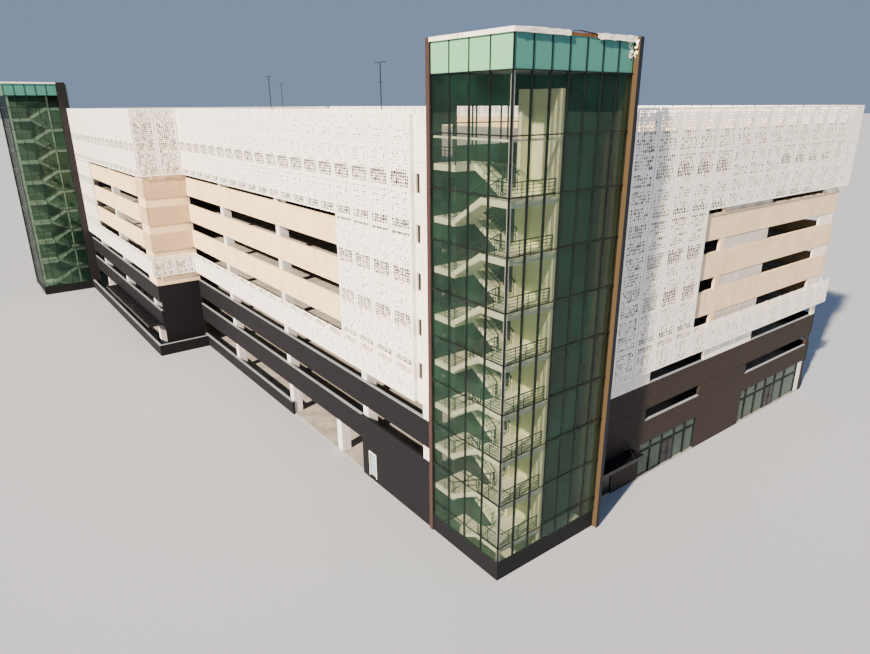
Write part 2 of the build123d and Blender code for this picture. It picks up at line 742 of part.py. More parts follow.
def back_flight(head, foot, risers=RISER_COUNT, riser=HALF_STOREY / RISER_COUNT):
    """The flight behind it, which climbs towards -X to a landing's edge at X=head."""
    return steps_on(Pos(head + (risers - 1) * TREAD, FLIGHT_WIDE + FLIGHT_WELL, foot), risers, riser)


def slab(x0, x1, y0, y1, level):
    """One landing or floor of a tower's stair."""
    return block(x0, x1, y0, y1, level - LANDING_THICK, level)


def tower_a_stair():
    """The near tower's flights, up to the roof: landings at the decks' levels, galleries between."""
    rest = GROUND_RISER_COUNT - FIRST_RISER_COUNT_A
    steps = near_flight(0, GROUND_THICK, FIRST_RISER_COUNT_A, GROUND_RISER)
    steps += back_flight(-FLIGHT_RUN, FIRST_LANDING_A, rest, GROUND_RISER)
    for level in LEVELS[:-1]:
        steps += near_flight(0, level)
    for level in HALF_FLOORS[:-1]:
        steps += back_flight(-FLIGHT_RUN, level)
    place = Pos(LANDING_A, STAIR_FROM_GLASS, 0)
    add("tower_a_flights", [place * s for s in steps])
    landing_end = LANDING_A - FLIGHT_RUN
    landings = [slab(TOWER_A_LEFT, landing_end, STAIR_FROM_GLASS, CORE_Y, level) for level in LEVELS]
    landings += [
        slab(LANDING_A, -FLOOR_EDGE_GAP, FLOOR_EDGE_GAP, GALLERY_LONG, level)
        for level in [FIRST_LANDING_A] + HALF_FLOORS[:-1]
    ]
    ground = block(TOWER_A_LEFT, -PLINTH_THICK, PLINTH_THICK, TOWER_A_DEEP, 0, GROUND_THICK)
    edge = FLOOR_EDGE_GAP
    post_end = edge + TOWER_POST_CLEAR + TOWER_A_POST + STEP_JOINT
    high = HALF_FLOORS[-1]
    beams = [
        block(TOWER_A_LEFT, -post_end, edge, edge + TOP_BEAM, high - TOP_BEAM, high),
        block(-edge - TOP_BEAM, -edge, post_end, GALLERY_LONG, high - TOP_BEAM, high),
    ]
    add("tower_a_landings", landings + [ground] + beams)
    low = GROUND_THICK
    top = GLASS_TOP - CORE_BELOW_GLASS_TOP
    back_end = LANDING_A - CORE_WALL - PANEL_JOINT
    back = block(TOWER_A_LEFT, back_end, CORE_Y, CORE_Y + CORE_WALL, low, ROOF)
    side = block(LANDING_A - CORE_WALL, LANDING_A, CORE_Y, TOWER_A_DEEP, low, top)
    cross_start = GALLERY_LONG + PANEL_JOINT
    cross_left = LANDING_A + PANEL_JOINT
    cross = block(cross_left, -FLOOR_EDGE_GAP, cross_start, cross_start + CORE_WALL, low, top)
    return [back, side, cross]


def tower_b_posts(right):
    """White posts behind the far tower's glass: at its corner and beside the heads of the flights."""
    posts = []
    corner_right = right - FLOOR_EDGE_GAP - TOWER_POST_CLEAR
    corner_front = TOWER_B_FRONT + FLOOR_EDGE_GAP + TOWER_POST_CLEAR
    inner_right = right - STAIR_FROM_GLASS
    inner_front = LANDING_B + INNER_POST_IN
    top = TOWER_ROOF_LEVEL - DECK_THICK
    landings = [GROUND_THICK, FIRST_LANDING_B] + HALF_FLOORS
    floors = TOWER_FLOORS + [ROOF + STOREY]
    for levels, x, y, wide in (
        (landings, corner_right, corner_front, TOWER_B_POST),
        (floors, inner_right, inner_front, INNER_POST_WIDE),
    ):
        heads = [level - LANDING_THICK for level in levels[1:]] + [top]
        for low, high in zip(levels, heads):
            posts.append(block(x - wide, x, y, y + wide, low + STEP_JOINT, high - STEP_JOINT))
    return posts


def tower_b_stair():
    """The far tower's stair, turned a quarter: floors beside the building, landings at its front."""
    steps = back_flight(-FIRST_RUN_B, GROUND_THICK, FIRST_RISER_COUNT_B, GROUND_RISER)
    steps += near_flight(0, FIRST_LANDING_B, GROUND_RISER_COUNT - FIRST_RISER_COUNT_B, GROUND_RISER)
    for level in LEVELS:
        steps += back_flight(-FLIGHT_RUN, level)
    for level in HALF_FLOORS:
        steps += near_flight(0, level)
    place = Pos(TOWER_B_RIGHT - STAIR_FROM_GLASS, LANDING_B, 0) * Rot(0, 0, 90)
    add("tower_b_flights", [place * s for s in steps])
    right = TOWER_B_RIGHT - FIN_THICK
    front = TOWER_B_FRONT + FLOOR_EDGE_GAP
    core_left = CORE_B_X - CORE_WALL
    slabs = [slab(CORE_B_X, right, LANDING_B, -WING_OUT, level) for level in LEVELS + [ROOF + STOREY]]
    slabs += [slab(LEFT_X, core_left, front, -WING_OUT, level) for level in LEVELS]
    glass_side = TOWER_B_RIGHT - STAIR_FROM_GLASS
    slabs.append(slab(CORE_B_X, glass_side, front, LANDING_B - FIRST_RUN_B, FIRST_LANDING_B))
    slabs += [slab(CORE_B_X, glass_side, front, LANDING_B - FLIGHT_RUN, level) for level in HALF_FLOORS]
    slabs.append(block(LEFT_X, right, TOWER_B_FRONT + PLINTH_THICK, -WING_OUT, 0, GROUND_THICK))
    add("tower_b_landings", slabs + tower_b_posts(TOWER_B_RIGHT))
    top = GLASS_TOP - CORE_BELOW_GLASS_TOP
    return [block(core_left, CORE_B_X, front, -WING_OUT, GROUND_THICK, top)]


def curtain_bars(width, panes, low, high, first):
    """Cap bars of one glazed face in the plane Y=0, facing -Y: uprights, then transoms before them."""
    bars = []
    pitch = width / panes
    for i in range(panes + 1):
        a = max(i * pitch - CAP_WIDE / 2, 0)
        b = min(i * pitch + CAP_WIDE / 2, width)
        bars.append(block(a, b, -CAP_DEEP, 0, low, high))
    heights = [first + STOREY * i for i in range(DECK_COUNT + 1)]
    for at in [h for h in heights if h < GLASS_TOP - CAP_WIDE] + [GLASS_TOP]:
        foot = at - CAP_WIDE / 2
        back = -CAP_DEEP - STEP_JOINT
        bars.append(block(0, width, back - CAP_DEEP, back, foot, foot + CAP_WIDE))
    return bars


def tower_glazing():
    """Plinths, cap bars, glass and the opaque band over the glass of both towers."""
    a_front = Pos(TOWER_A_LEFT, 0, 0)
    a_side = Rot(0, 0, 90)
    b_long = TOWER_B_OUT - TOWER_B_FIN_LONG
    b_side = Pos(TOWER_B_RIGHT, TOWER_B_FRONT, 0) * Rot(0, 0, 90)
    b_front = Pos(LEFT_X, TOWER_B_FRONT, 0)
    faces = [
        ("tower_a", a_front, TOWER_A_WIDE, TOWER_A_FRONT_PANES, 0),
        ("tower_a", a_side, TOWER_A_DEEP, TOWER_A_SIDE_PANES, 1),
        ("tower_b", b_front, TOWER_B_WIDE, TOWER_B_FRONT_PANES, 0),
        ("tower_b", b_side, b_long, TOWER_B_SIDE_PANES, 1),
    ]
    transoms = {"tower_a": LEVEL_2 - HALF_STOREY + TRANSOM_A_UP, "tower_b": LEVEL_2 + TRANSOM_B_UP}
    plinths = []
    bands = []
    bars = {"tower_a": [], "tower_b": []}
    glass = {"tower_a": [], "tower_b": []}
    top = BAND_TOP - COPING_DROP
    for name, place, width, panes, turned in faces:
        made = curtain_bars(width, panes, PLINTH_HIGH, top, transoms[name])
        bars[name] += [place * bar for bar in made]
        start = GLASS_THICK + STEP_JOINT if turned else 0
        glass[name].append(place * block(start, width, 0, GLASS_THICK, PLINTH_HIGH, GLASS_TOP))
        start = BAND_THICK + STEP_JOINT if turned else 0
        bands.append(place * block(start, width, 0, BAND_THICK, GLASS_TOP, BAND_TOP))
        start = PLINTH_THICK + STEP_JOINT if turned else 0
        plinths.append(place * block(start, width, 0, PLINTH_THICK, 0, PLINTH_HIGH))
    add("tower_plinths", plinths)
    add("tower_green_bands", bands)
    for name in bars:
        add(f"{name}_glass_bars", bars[name])
    add("tower_glass", glass["tower_a"] + glass["tower_b"])


def doorway_wall(x0, x1, y0, y1, door_x, floors, top):
    """A tower's inner wall, split beside and over a doorway on each floor."""
    door_end = door_x + DOORWAY_WIDE
    parts = [block(x0, door_x, y0, y1, 0, top), block(door_end, x1, y0, y1, 0, top)]
    low = door_x + PANEL_JOINT / 2
    high = door_end - PANEL_JOINT / 2
    heads = [0] + [level + DOORWAY_HIGH for level in floors]
    sills = floors + [top]
    parts += [block(low, high, y0, y1, head, sill) for head, sill in zip(heads, sills)]
    return parts


def tower_walls():
    """The towers' solid sides: fins at their glass edges, walls to the decks, a window to the roof."""
    top = COPING_TOP
    left_fin = block(FIN_A_LEFT, TOWER_A_LEFT, -FIN_FRONT_PROUD, WALL, 0, top)
    right_fin = block(STREET_X - WALL, FIN_PROUD, TOWER_A_DEEP, FIN_A_END, 0, top)
    b_fin = block(
        TOWER_B_RIGHT - FIN_THICK, TOWER_B_RIGHT + FIN_FRONT_PROUD,
        -WING_OUT - TOWER_B_FIN_LONG, -WING_OUT, 0, top,
    )
    b_left = block(LEFT_X - FIN_THICK, LEFT_X, TOWER_B_FRONT - FIN_FRONT_PROUD, -WING_OUT, 0, top)
    add("tower_fins", [left_fin, right_fin, b_fin, b_left])
    turned = Pos(TOWER_A_LEFT, 0, 0) * Rot(0, 0, 90)
    a_wall = doorway_wall(
        WALL, WINDOW_START, 0, FIN_THICK, WALL + DOORWAY_START, TOWER_FLOORS, BAND_TOP
    )
    low = WINDOW_START + PANEL_JOINT
    a_wall += [
        block(low, WINDOW_END, 0, FIN_THICK, 0, ROOF + WINDOW_SILL),
        block(low, WINDOW_END, 0, FIN_THICK, ROOF + WINDOW_HEAD, BAND_TOP),
        block(WINDOW_END + PANEL_JOINT, TOWER_A_DEEP - PANEL_JOINT, 0, FIN_THICK, 0, BAND_TOP),
    ]
    a_rear = block(FIN_A_LEFT, STREET_X - WALL, TOWER_A_DEEP, FIN_A_END, 0, BAND_TOP)
    door_b = TOWER_B_RIGHT - FIN_THICK - DOORWAY_START - DOORWAY_WIDE
    b_wall = doorway_wall(
        LEFT_X, TOWER_B_RIGHT, -WING_OUT, -WING_OUT + WALL, door_b, TOWER_FLOORS, BAND_TOP
    )
    add("tower_deck_walls", [turned * part for part in a_wall] + [a_rear] + b_wall)


def tower_roofs():
    """Flat tower roofs below their parapets."""
    low = TOWER_ROOF_LEVEL - DECK_THICK
    a = block(TOWER_A_LEFT, -BAND_THICK, BAND_THICK, TOWER_A_DEEP, low, TOWER_ROOF_LEVEL)
    b = block(
        LEFT_X, TOWER_B_RIGHT - FIN_THICK, TOWER_B_FRONT + BAND_THICK, -WING_OUT,
        low, TOWER_ROOF_LEVEL,
    )
    add("tower_roofs", [a, b])


def coping_run(length):
    """One length of coping along X, its outer face at Y=0: a cap with a drip lip in front."""
    under = COPING_TOP - COPING_METAL
    drip = BAND_TOP - COPING_DROP
    points = [
        (-COPING_LIP, drip), (-COPING_LIP, under), (COPING_WIDE, under), (COPING_WIDE, COPING_TOP),
        (-COPING_LIP - COPING_METAL, COPING_TOP), (-COPING_LIP - COPING_METAL, drip),
    ]
    face = Plane.YZ * make_face(Polyline(*points, close=True))
    return extrude(face, amount=length)


def coping_corner():
    """The corner piece of a coping, its outer corner at X=0, Y=0: the lip turns with it."""
    out = COPING_LIP + COPING_METAL
    drip = BAND_TOP - COPING_DROP
    cap = block(-COPING_WIDE, out, -out, COPING_WIDE, drip, COPING_TOP)
    return cap - block(-COPING_WIDE, COPING_LIP, -COPING_LIP, COPING_WIDE, drip, COPING_TOP - COPING_METAL)


def copings():
    """White metal copings over timber blocking, with the lost length on the near tower's side."""
    lost_from = COPING_LOST_FROM
    lost_end = lost_from + COPING_LOST_LONG
    turn = COPING_WIDE + PANEL_JOINT
    side_b = TOWER_B_OUT - TOWER_B_FIN_LONG
    caps = [
        Pos(TOWER_A_LEFT, 0, 0) * coping_run(TOWER_A_WIDE - turn),
        coping_corner(),
        Pos(0, turn, 0) * Rot(0, 0, 90) * coping_run(lost_from - turn),
        Pos(0, lost_end, 0) * Rot(0, 0, 90) * coping_run(TOWER_A_DEEP - lost_end),
        Pos(LEFT_X, TOWER_B_FRONT, 0) * coping_run(TOWER_B_WIDE - turn),
        Pos(TOWER_B_RIGHT, TOWER_B_FRONT, 0) * coping_corner(),
        Pos(TOWER_B_RIGHT, TOWER_B_FRONT + turn, 0) * Rot(0, 0, 90) * coping_run(side_b - turn),
    ]
    add("tower_copings", caps)
    high = COPING_TOP - COPING_METAL
    wide = COPING_WIDE
    b_end = -WING_OUT - TOWER_B_FIN_LONG
    blocking = [
        block(TOWER_A_LEFT, 0, 0, wide, BAND_TOP, high),
        block(-wide, 0, wide + PANEL_JOINT, TOWER_A_DEEP, BAND_TOP, high),
        block(LEFT_X, TOWER_B_RIGHT, TOWER_B_FRONT, TOWER_B_FRONT + wide, BAND_TOP, high),
        block(
            TOWER_B_RIGHT - wide, TOWER_B_RIGHT, TOWER_B_FRONT + wide + PANEL_JOINT, b_end,
            BAND_TOP, high,
        ),
    ]
    add("coping_blocking", blocking)


def light_post(x, y):
    """A roof light: concrete foot, round post and two lamp heads on short arms."""
    foot = Pos(x, y, ROOF + POST_BASE_HIGH / 2) * Cylinder(POST_BASE_RADIUS, POST_BASE_HIGH)
    low = ROOF + POST_BASE_HIGH
    post = Pos(x, y, low + POST_HIGH / 2) * Cylinder(POST_RADIUS, POST_HIGH)
    top = low + POST_HIGH
    arm = block(x - LAMP_ARM, x + LAMP_ARM, y - POST_RADIUS / 2, y + POST_RADIUS / 2, top - LAMP_THICK, top)
    heads = [
        block(
            x + side * LAMP_ARM, x + side * (LAMP_ARM + LAMP_LONG),
            y - LAMP_WIDE / 2, y + LAMP_WIDE / 2, top - LAMP_THICK, top,
        )
        for side in (-1, 1)
    ]
    return foot + post + arm + heads[0] + heads[1]


def roof_lights():
    """The light posts that stand on the roof deck."""
    add("roof_lights", [light_post(-x, y) for x, y in LIGHT_POSTS])


def corner_posts():
    """The white post inside the near tower's glass corner, storey by storey."""
    top = TOWER_ROOF_LEVEL - DECK_THICK
    edge = FLOOR_EDGE_GAP + TOWER_POST_CLEAR
    inner = edge + TOWER_A_POST
    floors = [GROUND_THICK, FIRST_LANDING_A] + HALF_FLOORS[:-1]
    heads = [level - LANDING_THICK for level in floors[1:]] + [top]
    posts = [block(-inner, -edge, edge, inner, low, high) for low, high in zip(floors, heads)]
    add("tower_a_corner_posts", posts)


def export():
    """Moves the origin to the middle of the base and writes one file per piece."""
    boxes = [shape.bounding_box() for shape in model.values()]
    low = [min(tuple(b.min)[i] for b in boxes) for i in range(3)]
    high = [max(tuple(b.max)[i] for b in boxes) for i in range(3)]
    shift = Pos(-(low[0] + high[0]) / 2, -(low[1] + high[1]) / 2, -low[2])
    for name, shape in model.items():
        export_step(shift * shape, f"parts/{name}.step")
    print("size", [round(high[i] - low[i], 1) for i in range(3)], "nodes", len(model))


decks()
columns()
spandrels()
tower_link_wall()
front_base_wall()
return_wall()
knee_walls()
wing_canopy()
street_base_wall()
street_upper_walls()
street_entrances()
service_door()
street_canopy()
screens()
add("tower_core_walls", tower_a_stair() + tower_b_stair())
tower_glazing()
tower_walls()
tower_roofs()
copings()
corner_posts()
roof_lights()
export()
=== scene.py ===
"""Looks of the multi storey car park: camera, studio, finishes and fine pieces on the CAD frame."""
import math
import random

import bpy
from mathutils import Matrix, Vector


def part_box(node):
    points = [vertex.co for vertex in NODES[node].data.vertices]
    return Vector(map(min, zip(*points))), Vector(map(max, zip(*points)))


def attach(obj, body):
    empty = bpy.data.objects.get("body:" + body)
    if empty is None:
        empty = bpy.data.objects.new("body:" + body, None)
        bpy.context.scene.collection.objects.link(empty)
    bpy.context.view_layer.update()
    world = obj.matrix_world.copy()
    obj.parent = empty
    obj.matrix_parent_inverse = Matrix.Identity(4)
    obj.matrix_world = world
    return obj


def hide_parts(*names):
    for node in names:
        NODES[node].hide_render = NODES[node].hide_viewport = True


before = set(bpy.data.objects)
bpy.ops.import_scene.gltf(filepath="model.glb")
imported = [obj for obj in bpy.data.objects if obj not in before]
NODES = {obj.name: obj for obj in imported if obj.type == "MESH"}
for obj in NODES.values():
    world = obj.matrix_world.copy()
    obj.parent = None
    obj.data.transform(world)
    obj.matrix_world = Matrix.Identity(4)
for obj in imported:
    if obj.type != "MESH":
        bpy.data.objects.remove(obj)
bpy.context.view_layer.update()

# The model is 1:10, so one real millimetre is a ten-thousandth of a metre here
REAL = 0.0001
MM = 0.001

# The near tower's street corner on the ground, which the camera was solved from
CORNER = Vector((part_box("tower_glass")[1].x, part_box("front_base_wall")[0].y, 0.0))

# Camera: place from that corner in metres, heading and tilt in degrees
CAMERA_FROM_CORNER = Vector((2.481, -2.389, 2.972))
CAMERA_HEADING = 52.72
CAMERA_DOWN = 19.24
CAMERA_ROLL = -0.34
IMAGE_WIDE = 870
FOCAL_PIXELS = 637.7
SENSOR_WIDE = 36.0

# Studio: the floor in metres, headings, heights and spreads of the lamps in degrees
FLOOR_WIDE = 400.0
FLOOR_LEVEL = -0.001
LAMP_UP = 10
KEY_HEADING = 16.0
KEY_HEIGHT = 33.0
KEY_STRENGTH = 17.0
KEY_SPREAD = 2.0
FILL_HEADING = 115.0
FILL_HEIGHT = 40.0
FILL_STRENGTH = 0.35
FILL_SPREAD = 40.0
WORLD_STRENGTH = 0.55

# The part's levels and faces, in millimetres from the near tower's street corner
STOREY = 320.0
LEVELS = [397.0 + STOREY * i for i in range(8)]
HALF_LEVELS = [level + STOREY / 2 for level in LEVELS]
ROOF = LEVELS[-1]
BAND_ABOVE = 153.0
PALE_HIGH = 106.0
TOWER_A_LEFT = -685.0
TOWER_B_LEFT = -10576.0
TOWER_B_RIGHT = -9616.0
TOWER_B_FRONT = -1344.0
FRONT_END = -5648.0
WING_FACE = -502.0
STREET_FACE = -179.0


def deselect():
    """Nothing stays selected, so that the next operator works on its own piece alone."""
    if bpy.context.object and bpy.context.object.mode != "OBJECT":
        bpy.ops.object.mode_set(mode="OBJECT")
    bpy.ops.object.select_all(action="DESELECT")


def pick(piece):
    """Makes one piece the selected and active one."""
    deselect()
    piece.select_set(True)
    bpy.context.view_layer.objects.active = piece


def colour(code):
    """An sRGB hex colour as the linear RGBA that shaders take."""
    parts = [int(code[i:i + 2], 16) / 255 for i in (1, 3, 5)]
    return [p / 12.92 if p <= 0.04045 else ((p + 0.055) / 1.055) ** 2.4 for p in parts] + [1.0]


def set_camera():
    """The photograph's place and angle of view."""
    heading = math.radians(CAMERA_HEADING)
    down = math.radians(CAMERA_DOWN)
    ahead = Vector((
        -math.sin(heading) * math.cos(down),
        math.cos(heading) * math.cos(down),
        -math.sin(down),
    ))
    turned = ahead.to_track_quat("-Z", "Y").to_matrix().to_4x4()
    rolled = turned @ Matrix.Rotation(math.radians(CAMERA_ROLL), 4, "Z")
    bpy.ops.object.camera_add(location=CORNER + CAMERA_FROM_CORNER)
    camera = bpy.context.object
    camera.rotation_euler = rolled.to_euler()
    camera.data.sensor_width = SENSOR_WIDE
    camera.data.lens = FOCAL_PIXELS * SENSOR_WIDE / IMAGE_WIDE
    camera.data.clip_end = FLOOR_WIDE
    bpy.context.scene.camera = camera


def sun(name, heading, height, strength, spread, code):
    """One distant lamp; its heading is in degrees from straight before the front to the street."""
    turn = math.radians(heading)
    rise = math.radians(height)
    towards = Vector((
        -math.sin(turn) * math.cos(rise),
        math.cos(turn) * math.cos(rise),
        -math.sin(rise),
    ))
    bpy.ops.object.light_add(type="SUN", location=(0, 0, LAMP_UP))
    lamp = bpy.context.object
    lamp.name = name
    lamp.rotation_euler = towards.to_track_quat("-Z", "Y").to_euler()
    lamp.data.energy = strength
    lamp.data.angle = math.radians(spread)
    lamp.data.color = colour(code)[:3]


def set_studio():
    """A pale floor, a low key light from before the long front, a weak fill and a pale world."""
    bpy.ops.mesh.primitive_plane_add(size=FLOOR_WIDE, location=(0, 0, FLOOR_LEVEL))
    floor = bpy.context.object
    floor.name = "studio_floor"
    material, shader = new_material("matt_studio_paper")
    shader.inputs["Base Color"].default_value = colour("#98A0AC")
    shader.inputs["Roughness"].default_value = 0.9
    floor.data.materials.append(material)
    sun("key_light", KEY_HEADING, KEY_HEIGHT, KEY_STRENGTH, KEY_SPREAD, "#FFE8CC")
    sun("fill_light", FILL_HEADING, FILL_HEIGHT, FILL_STRENGTH, FILL_SPREAD, "#DCE8FF")
    world = bpy.data.worlds.new("studio_world")
    bpy.context.scene.world = world
    world.use_nodes = True
    back = world.node_tree.nodes["Background"]
    back.inputs["Color"].default_value = colour("#A9C3E8")
    back.inputs["Strength"].default_value = WORLD_STRENGTH


# Finishes: brick sizes in real millimetres

BRICK_UNIT = 100.0
BRICK_LONG = 225.0
BRICK_HIGH = 75.0
BRICK_JOINT = 10.0
JOINT_DEEP = 10.0

# Where one finish turns to another: start and end of the change, in metres or as a normal
GALLERY_LEFT = (CORNER.x - 0.257, CORNER.x - 0.256)
GALLERY_REAR = (CORNER.y + 0.42, CORNER.y + 0.41)
STREET_FIN = (CORNER.x - 0.3, CORNER.x - 0.29)
FAR_SIDE = (CORNER.x - 5.0, CORNER.x - 5.1)
FACING = (0.5, 0.6)


def new_material(name):
    """An empty material and its shader."""
    material = bpy.data.materials.new(name)
    material.use_nodes = True
    return material, material.node_tree.nodes["Principled BSDF"]


def add(material, kind, inputs=None, **settings):
    """Adds one node with its settings; an input is a value, a hex colour or a node's output."""
    made = material.node_tree.nodes.new(kind)
    for name, value in settings.items():
        setattr(made, name, value)
    for name, value in (inputs or {}).items():
        if isinstance(value, bpy.types.NodeSocket):
            material.node_tree.links.new(value, made.inputs[name])
        else:
            made.inputs[name].default_value = colour(value) if isinstance(value, str) else value
    return made


def link(material, output, shader, name):
    """Joins a node's output to one of the shader's sockets."""
    material.node_tree.links.new(output, shader.inputs[name])


def flat_wall_place(material):
    """Object coordinates laid flat on any upright wall: along it, then up."""
    on_piece = add(material, "ShaderNodeTexCoord").outputs["Object"]
    split = add(material, "ShaderNodeSeparateXYZ", {0: on_piece})
    along = add(
        material, "ShaderNodeMath", {0: split.outputs["X"], 1: split.outputs["Y"]}, operation="ADD"
    )
    return add(
        material, "ShaderNodeCombineXYZ", {"X": along.outputs[0], "Y": split.outputs["Z"]}
    ).outputs[0]


def patches(material, size, low=0.35, high=0.65, stretch=(1, 1, 1), detail=4.0):
    """A soft random pattern from 0 to 1, with patches of about this real size in millimetres."""
    on_piece = add(material, "ShaderNodeTexCoord").outputs["Object"]
    moved = add(material, "ShaderNodeMapping", {"Vector": on_piece, "Scale": stretch})
    noise = add(
        material, "ShaderNodeTexNoise",
        {"Vector": moved.outputs[0], "Scale": 1 / (size * REAL), "Detail": detail},
    )
    return add(
        material, "ShaderNodeMapRange",
        {"Value": noise.outputs[0], "From Min": low, "From Max": high},
    ).outputs[0]


def clouds(material, size, base, shade):
    """Two close tones in soft patches of about this real size in millimetres."""
    return add(
        material, "ShaderNodeMix", {0: patches(material, size), 6: base, 7: shade},
        data_type="RGBA",
    ).outputs[2]


def skin(material, shader, size, depth, strength, detail):
    """A fine random relief, its grains of this real size and depth in millimetres."""
    grains = patches(material, size, 0.2, 0.8, detail=detail)
    bump = add(
        material, "ShaderNodeBump",
        {"Height": grains, "Distance": depth * REAL, "Strength": strength},
    )
    link(material, bump.outputs[0], shader, "Normal")


def share_along(material, coordinate, axis, low, high):
    """How far the Object place or the Normal has gone from low to high, from 0 to 1."""
    spread = add(material, "ShaderNodeTexCoord").outputs[coordinate]
    split = add(material, "ShaderNodeSeparateXYZ", {0: spread})
    return add(
        material, "ShaderNodeMapRange",
        {"Value": split.outputs[axis], "From Min": low, "From Max": high},
    ).outputs[0]


def repaint(material, share, second):
    """Turns a finish's own colour into a second one where the share is 1."""
    shader = material.node_tree.nodes["Principled BSDF"]
    own = shader.inputs["Base Color"].links[0].from_socket
    turned = add(material, "ShaderNodeMix", {0: share, 6: own, 7: second}, data_type="RGBA")
    link(material, turned.outputs[2], shader, "Base Color")


def mineral(name, base, shade, streak, roughness, patch=1600.0, grit=60.0):
    """A cast mineral surface: broad tone patches, faint rain streaks and a gritty skin."""
    material, shader = new_material(name)
    link(material, clouds(material, patch, base, shade), shader, "Base Color")
    runs = patches(material, 260.0, 0.5, 0.75, (1, 1, 0.08))
    faint = add(material, "ShaderNodeMath", {0: runs, 1: 0.45}, operation="MULTIPLY")
    repaint(material, faint.outputs[0], streak)
    shader.inputs["Roughness"].default_value = roughness
    skin(material, shader, grit, 6.0, 0.5, 2.0)
    return material


def painted(name, base, shade, roughness, metallic=0.0, dust=500.0):
    """A smooth factory paint or coating with faint dust patches and slight orange peel."""
    material, shader = new_material(name)
    link(material, clouds(material, dust, base, shade), shader, "Base Color")
    shader.inputs["Roughness"].default_value = roughness
    shader.inputs["Metallic"].default_value = metallic
    skin(material, shader, 40.0, 0.6, 0.3, 1.0)
    return material


def banded_precast(name, base, shade, streak, band):
    """Precast panels with a paler stretch at the height of each row of openings."""
    material = mineral(name, base, shade, streak, 0.75)
    on_piece = add(material, "ShaderNodeTexCoord").outputs["Object"]
    split = add(material, "ShaderNodeSeparateXYZ", {0: on_piece})
    above = add(
        material, "ShaderNodeMath",
        {0: split.outputs["Z"], 1: (LEVELS[0] + BAND_ABOVE) * MM}, operation="SUBTRACT",
    )
    within = add(
        material, "ShaderNodeMath", {0: above.outputs[0], 1: STOREY * MM}, operation="MODULO"
    )
    paler = add(
        material, "ShaderNodeMath", {0: within.outputs[0], 1: PALE_HIGH * MM},
        operation="LESS_THAN",
    )
    repaint(material, paler.outputs[0], band)
    return material


def dark_brick(name, warm, cool, mortar):
    """Dark fired clay brick in running bond with a recessed joint, mottled brick by brick."""
    material, shader = new_material(name)
    bond = add(
        material, "ShaderNodeTexBrick",
        {
            "Vector": flat_wall_place(material), "Color1": warm, "Color2": cool,
            "Mortar": mortar, "Scale": 1 / (BRICK_UNIT * REAL),
            "Mortar Size": BRICK_JOINT / BRICK_UNIT, "Mortar Smooth": 0.3,
            "Brick Width": BRICK_LONG / BRICK_UNIT, "Row Height": BRICK_HIGH / BRICK_UNIT,
        },
    )
    link(material, bond.outputs["Color"], shader, "Base Color")
    mottled = add(
        material, "ShaderNodeMath", {0: patches(material, 900.0), 1: 0.35}, operation="MULTIPLY"
    )
    repaint(material, mottled.outputs[0], cool)
    shader.inputs["Roughness"].default_value = 0.72
    shader.inputs["Specular IOR Level"].default_value = 0.2
    proud = add(
        material, "ShaderNodeMath", {0: 1.0, 1: bond.outputs["Fac"]}, operation="SUBTRACT"
    )
    bump = add(
        material, "ShaderNodeBump",
        {"Height": proud.outputs[0], "Distance": JOINT_DEEP * REAL, "Strength": 0.6},
    )
    link(material, bump.outputs[0], shader, "Normal")
    return material


def green_glass(name, tint, clear, thin):
    """Float glass in large panes: seen through from straight ahead, more of a mirror from aside."""
    material, shader = new_material(name)
    link(material, clouds(material, 2600.0, tint, clear), shader, "Base Color")
    shader.inputs["Roughness"].default_value = 0.02
    shader.inputs["IOR"].default_value = 1.52
    facing = add(material, "ShaderNodeLayerWeight", {"Blend": 0.35})
    veil = add(
        material, "ShaderNodeMapRange",
        {"Value": facing.outputs["Facing"], "To Min": thin, "To Max": thin + 0.35},
    )
    link(material, veil.outputs[0], shader, "Alpha")
    shader.inputs["Specular IOR Level"].default_value = 1.0
    shader.inputs["Specular Tint"].default_value = colour("#A4DCC0")
    skin(material, shader, 2400.0, 1.0, 0.1, 0.0)
    return material


def enamel_with_street_shade(name, base, shade, street):
    """Glass with a fired enamel back: glossy, slightly cloudy, and a darker, bluer colour painted
    on its street side as shade.
    """
    material = painted(name, base, shade, 0.1, dust=3000.0)
    # painted shade: faces turned to the street take the darker colour
    repaint(material, share_along(material, "Normal", "X", *FACING), street)
    return material


def painted_shade_inside(name, base, shade, back):
    """White coated sheet whose inner side, towards the building, is painted dark as shade, so that
    its holes read as shade.
    """
    material = painted(name, base, shade, 0.42)
    low, high = FACING
    inward_painted_shade = add(
        material, "ShaderNodeMath",
        {
            0: share_along(material, "Normal", "Y", low, high),
            1: share_along(material, "Normal", "X", -low, -high),
        },
        operation="MAXIMUM",
    )
    # painted shade: faces turned towards the building take the dark colour
    repaint(material, inward_painted_shade.outputs[0], back)
    return material


def core_wall(name, cream, cream_shade, painted_shade_dark, painted_shade_dark_tone, far):
    """Block walls: cream by the near tower's galleries, painted dark as shade behind its stair,
    green far off.
    """
    material, shader = new_material(name)
    # painted shade: the walls start dark, and only the gallery mask turns them cream
    link(material, clouds(material, 1400.0, painted_shade_dark, painted_shade_dark_tone), shader, "Base Color")
    repaint(material, share_along(material, "Object", "X", *FAR_SIDE), far)
    right = share_along(material, "Object", "X", *GALLERY_LEFT)
    before = share_along(material, "Object", "Y", *GALLERY_REAR)
    gallery = add(material, "ShaderNodeMath", {0: right, 1: before}, operation="MULTIPLY")
    repaint(material, gallery.outputs[0], clouds(material, 1400.0, cream, cream_shade))
    shader.inputs["Roughness"].default_value = 0.65
    skin(material, shader, 160.0, 1.0, 0.1, 1.0)
    return material


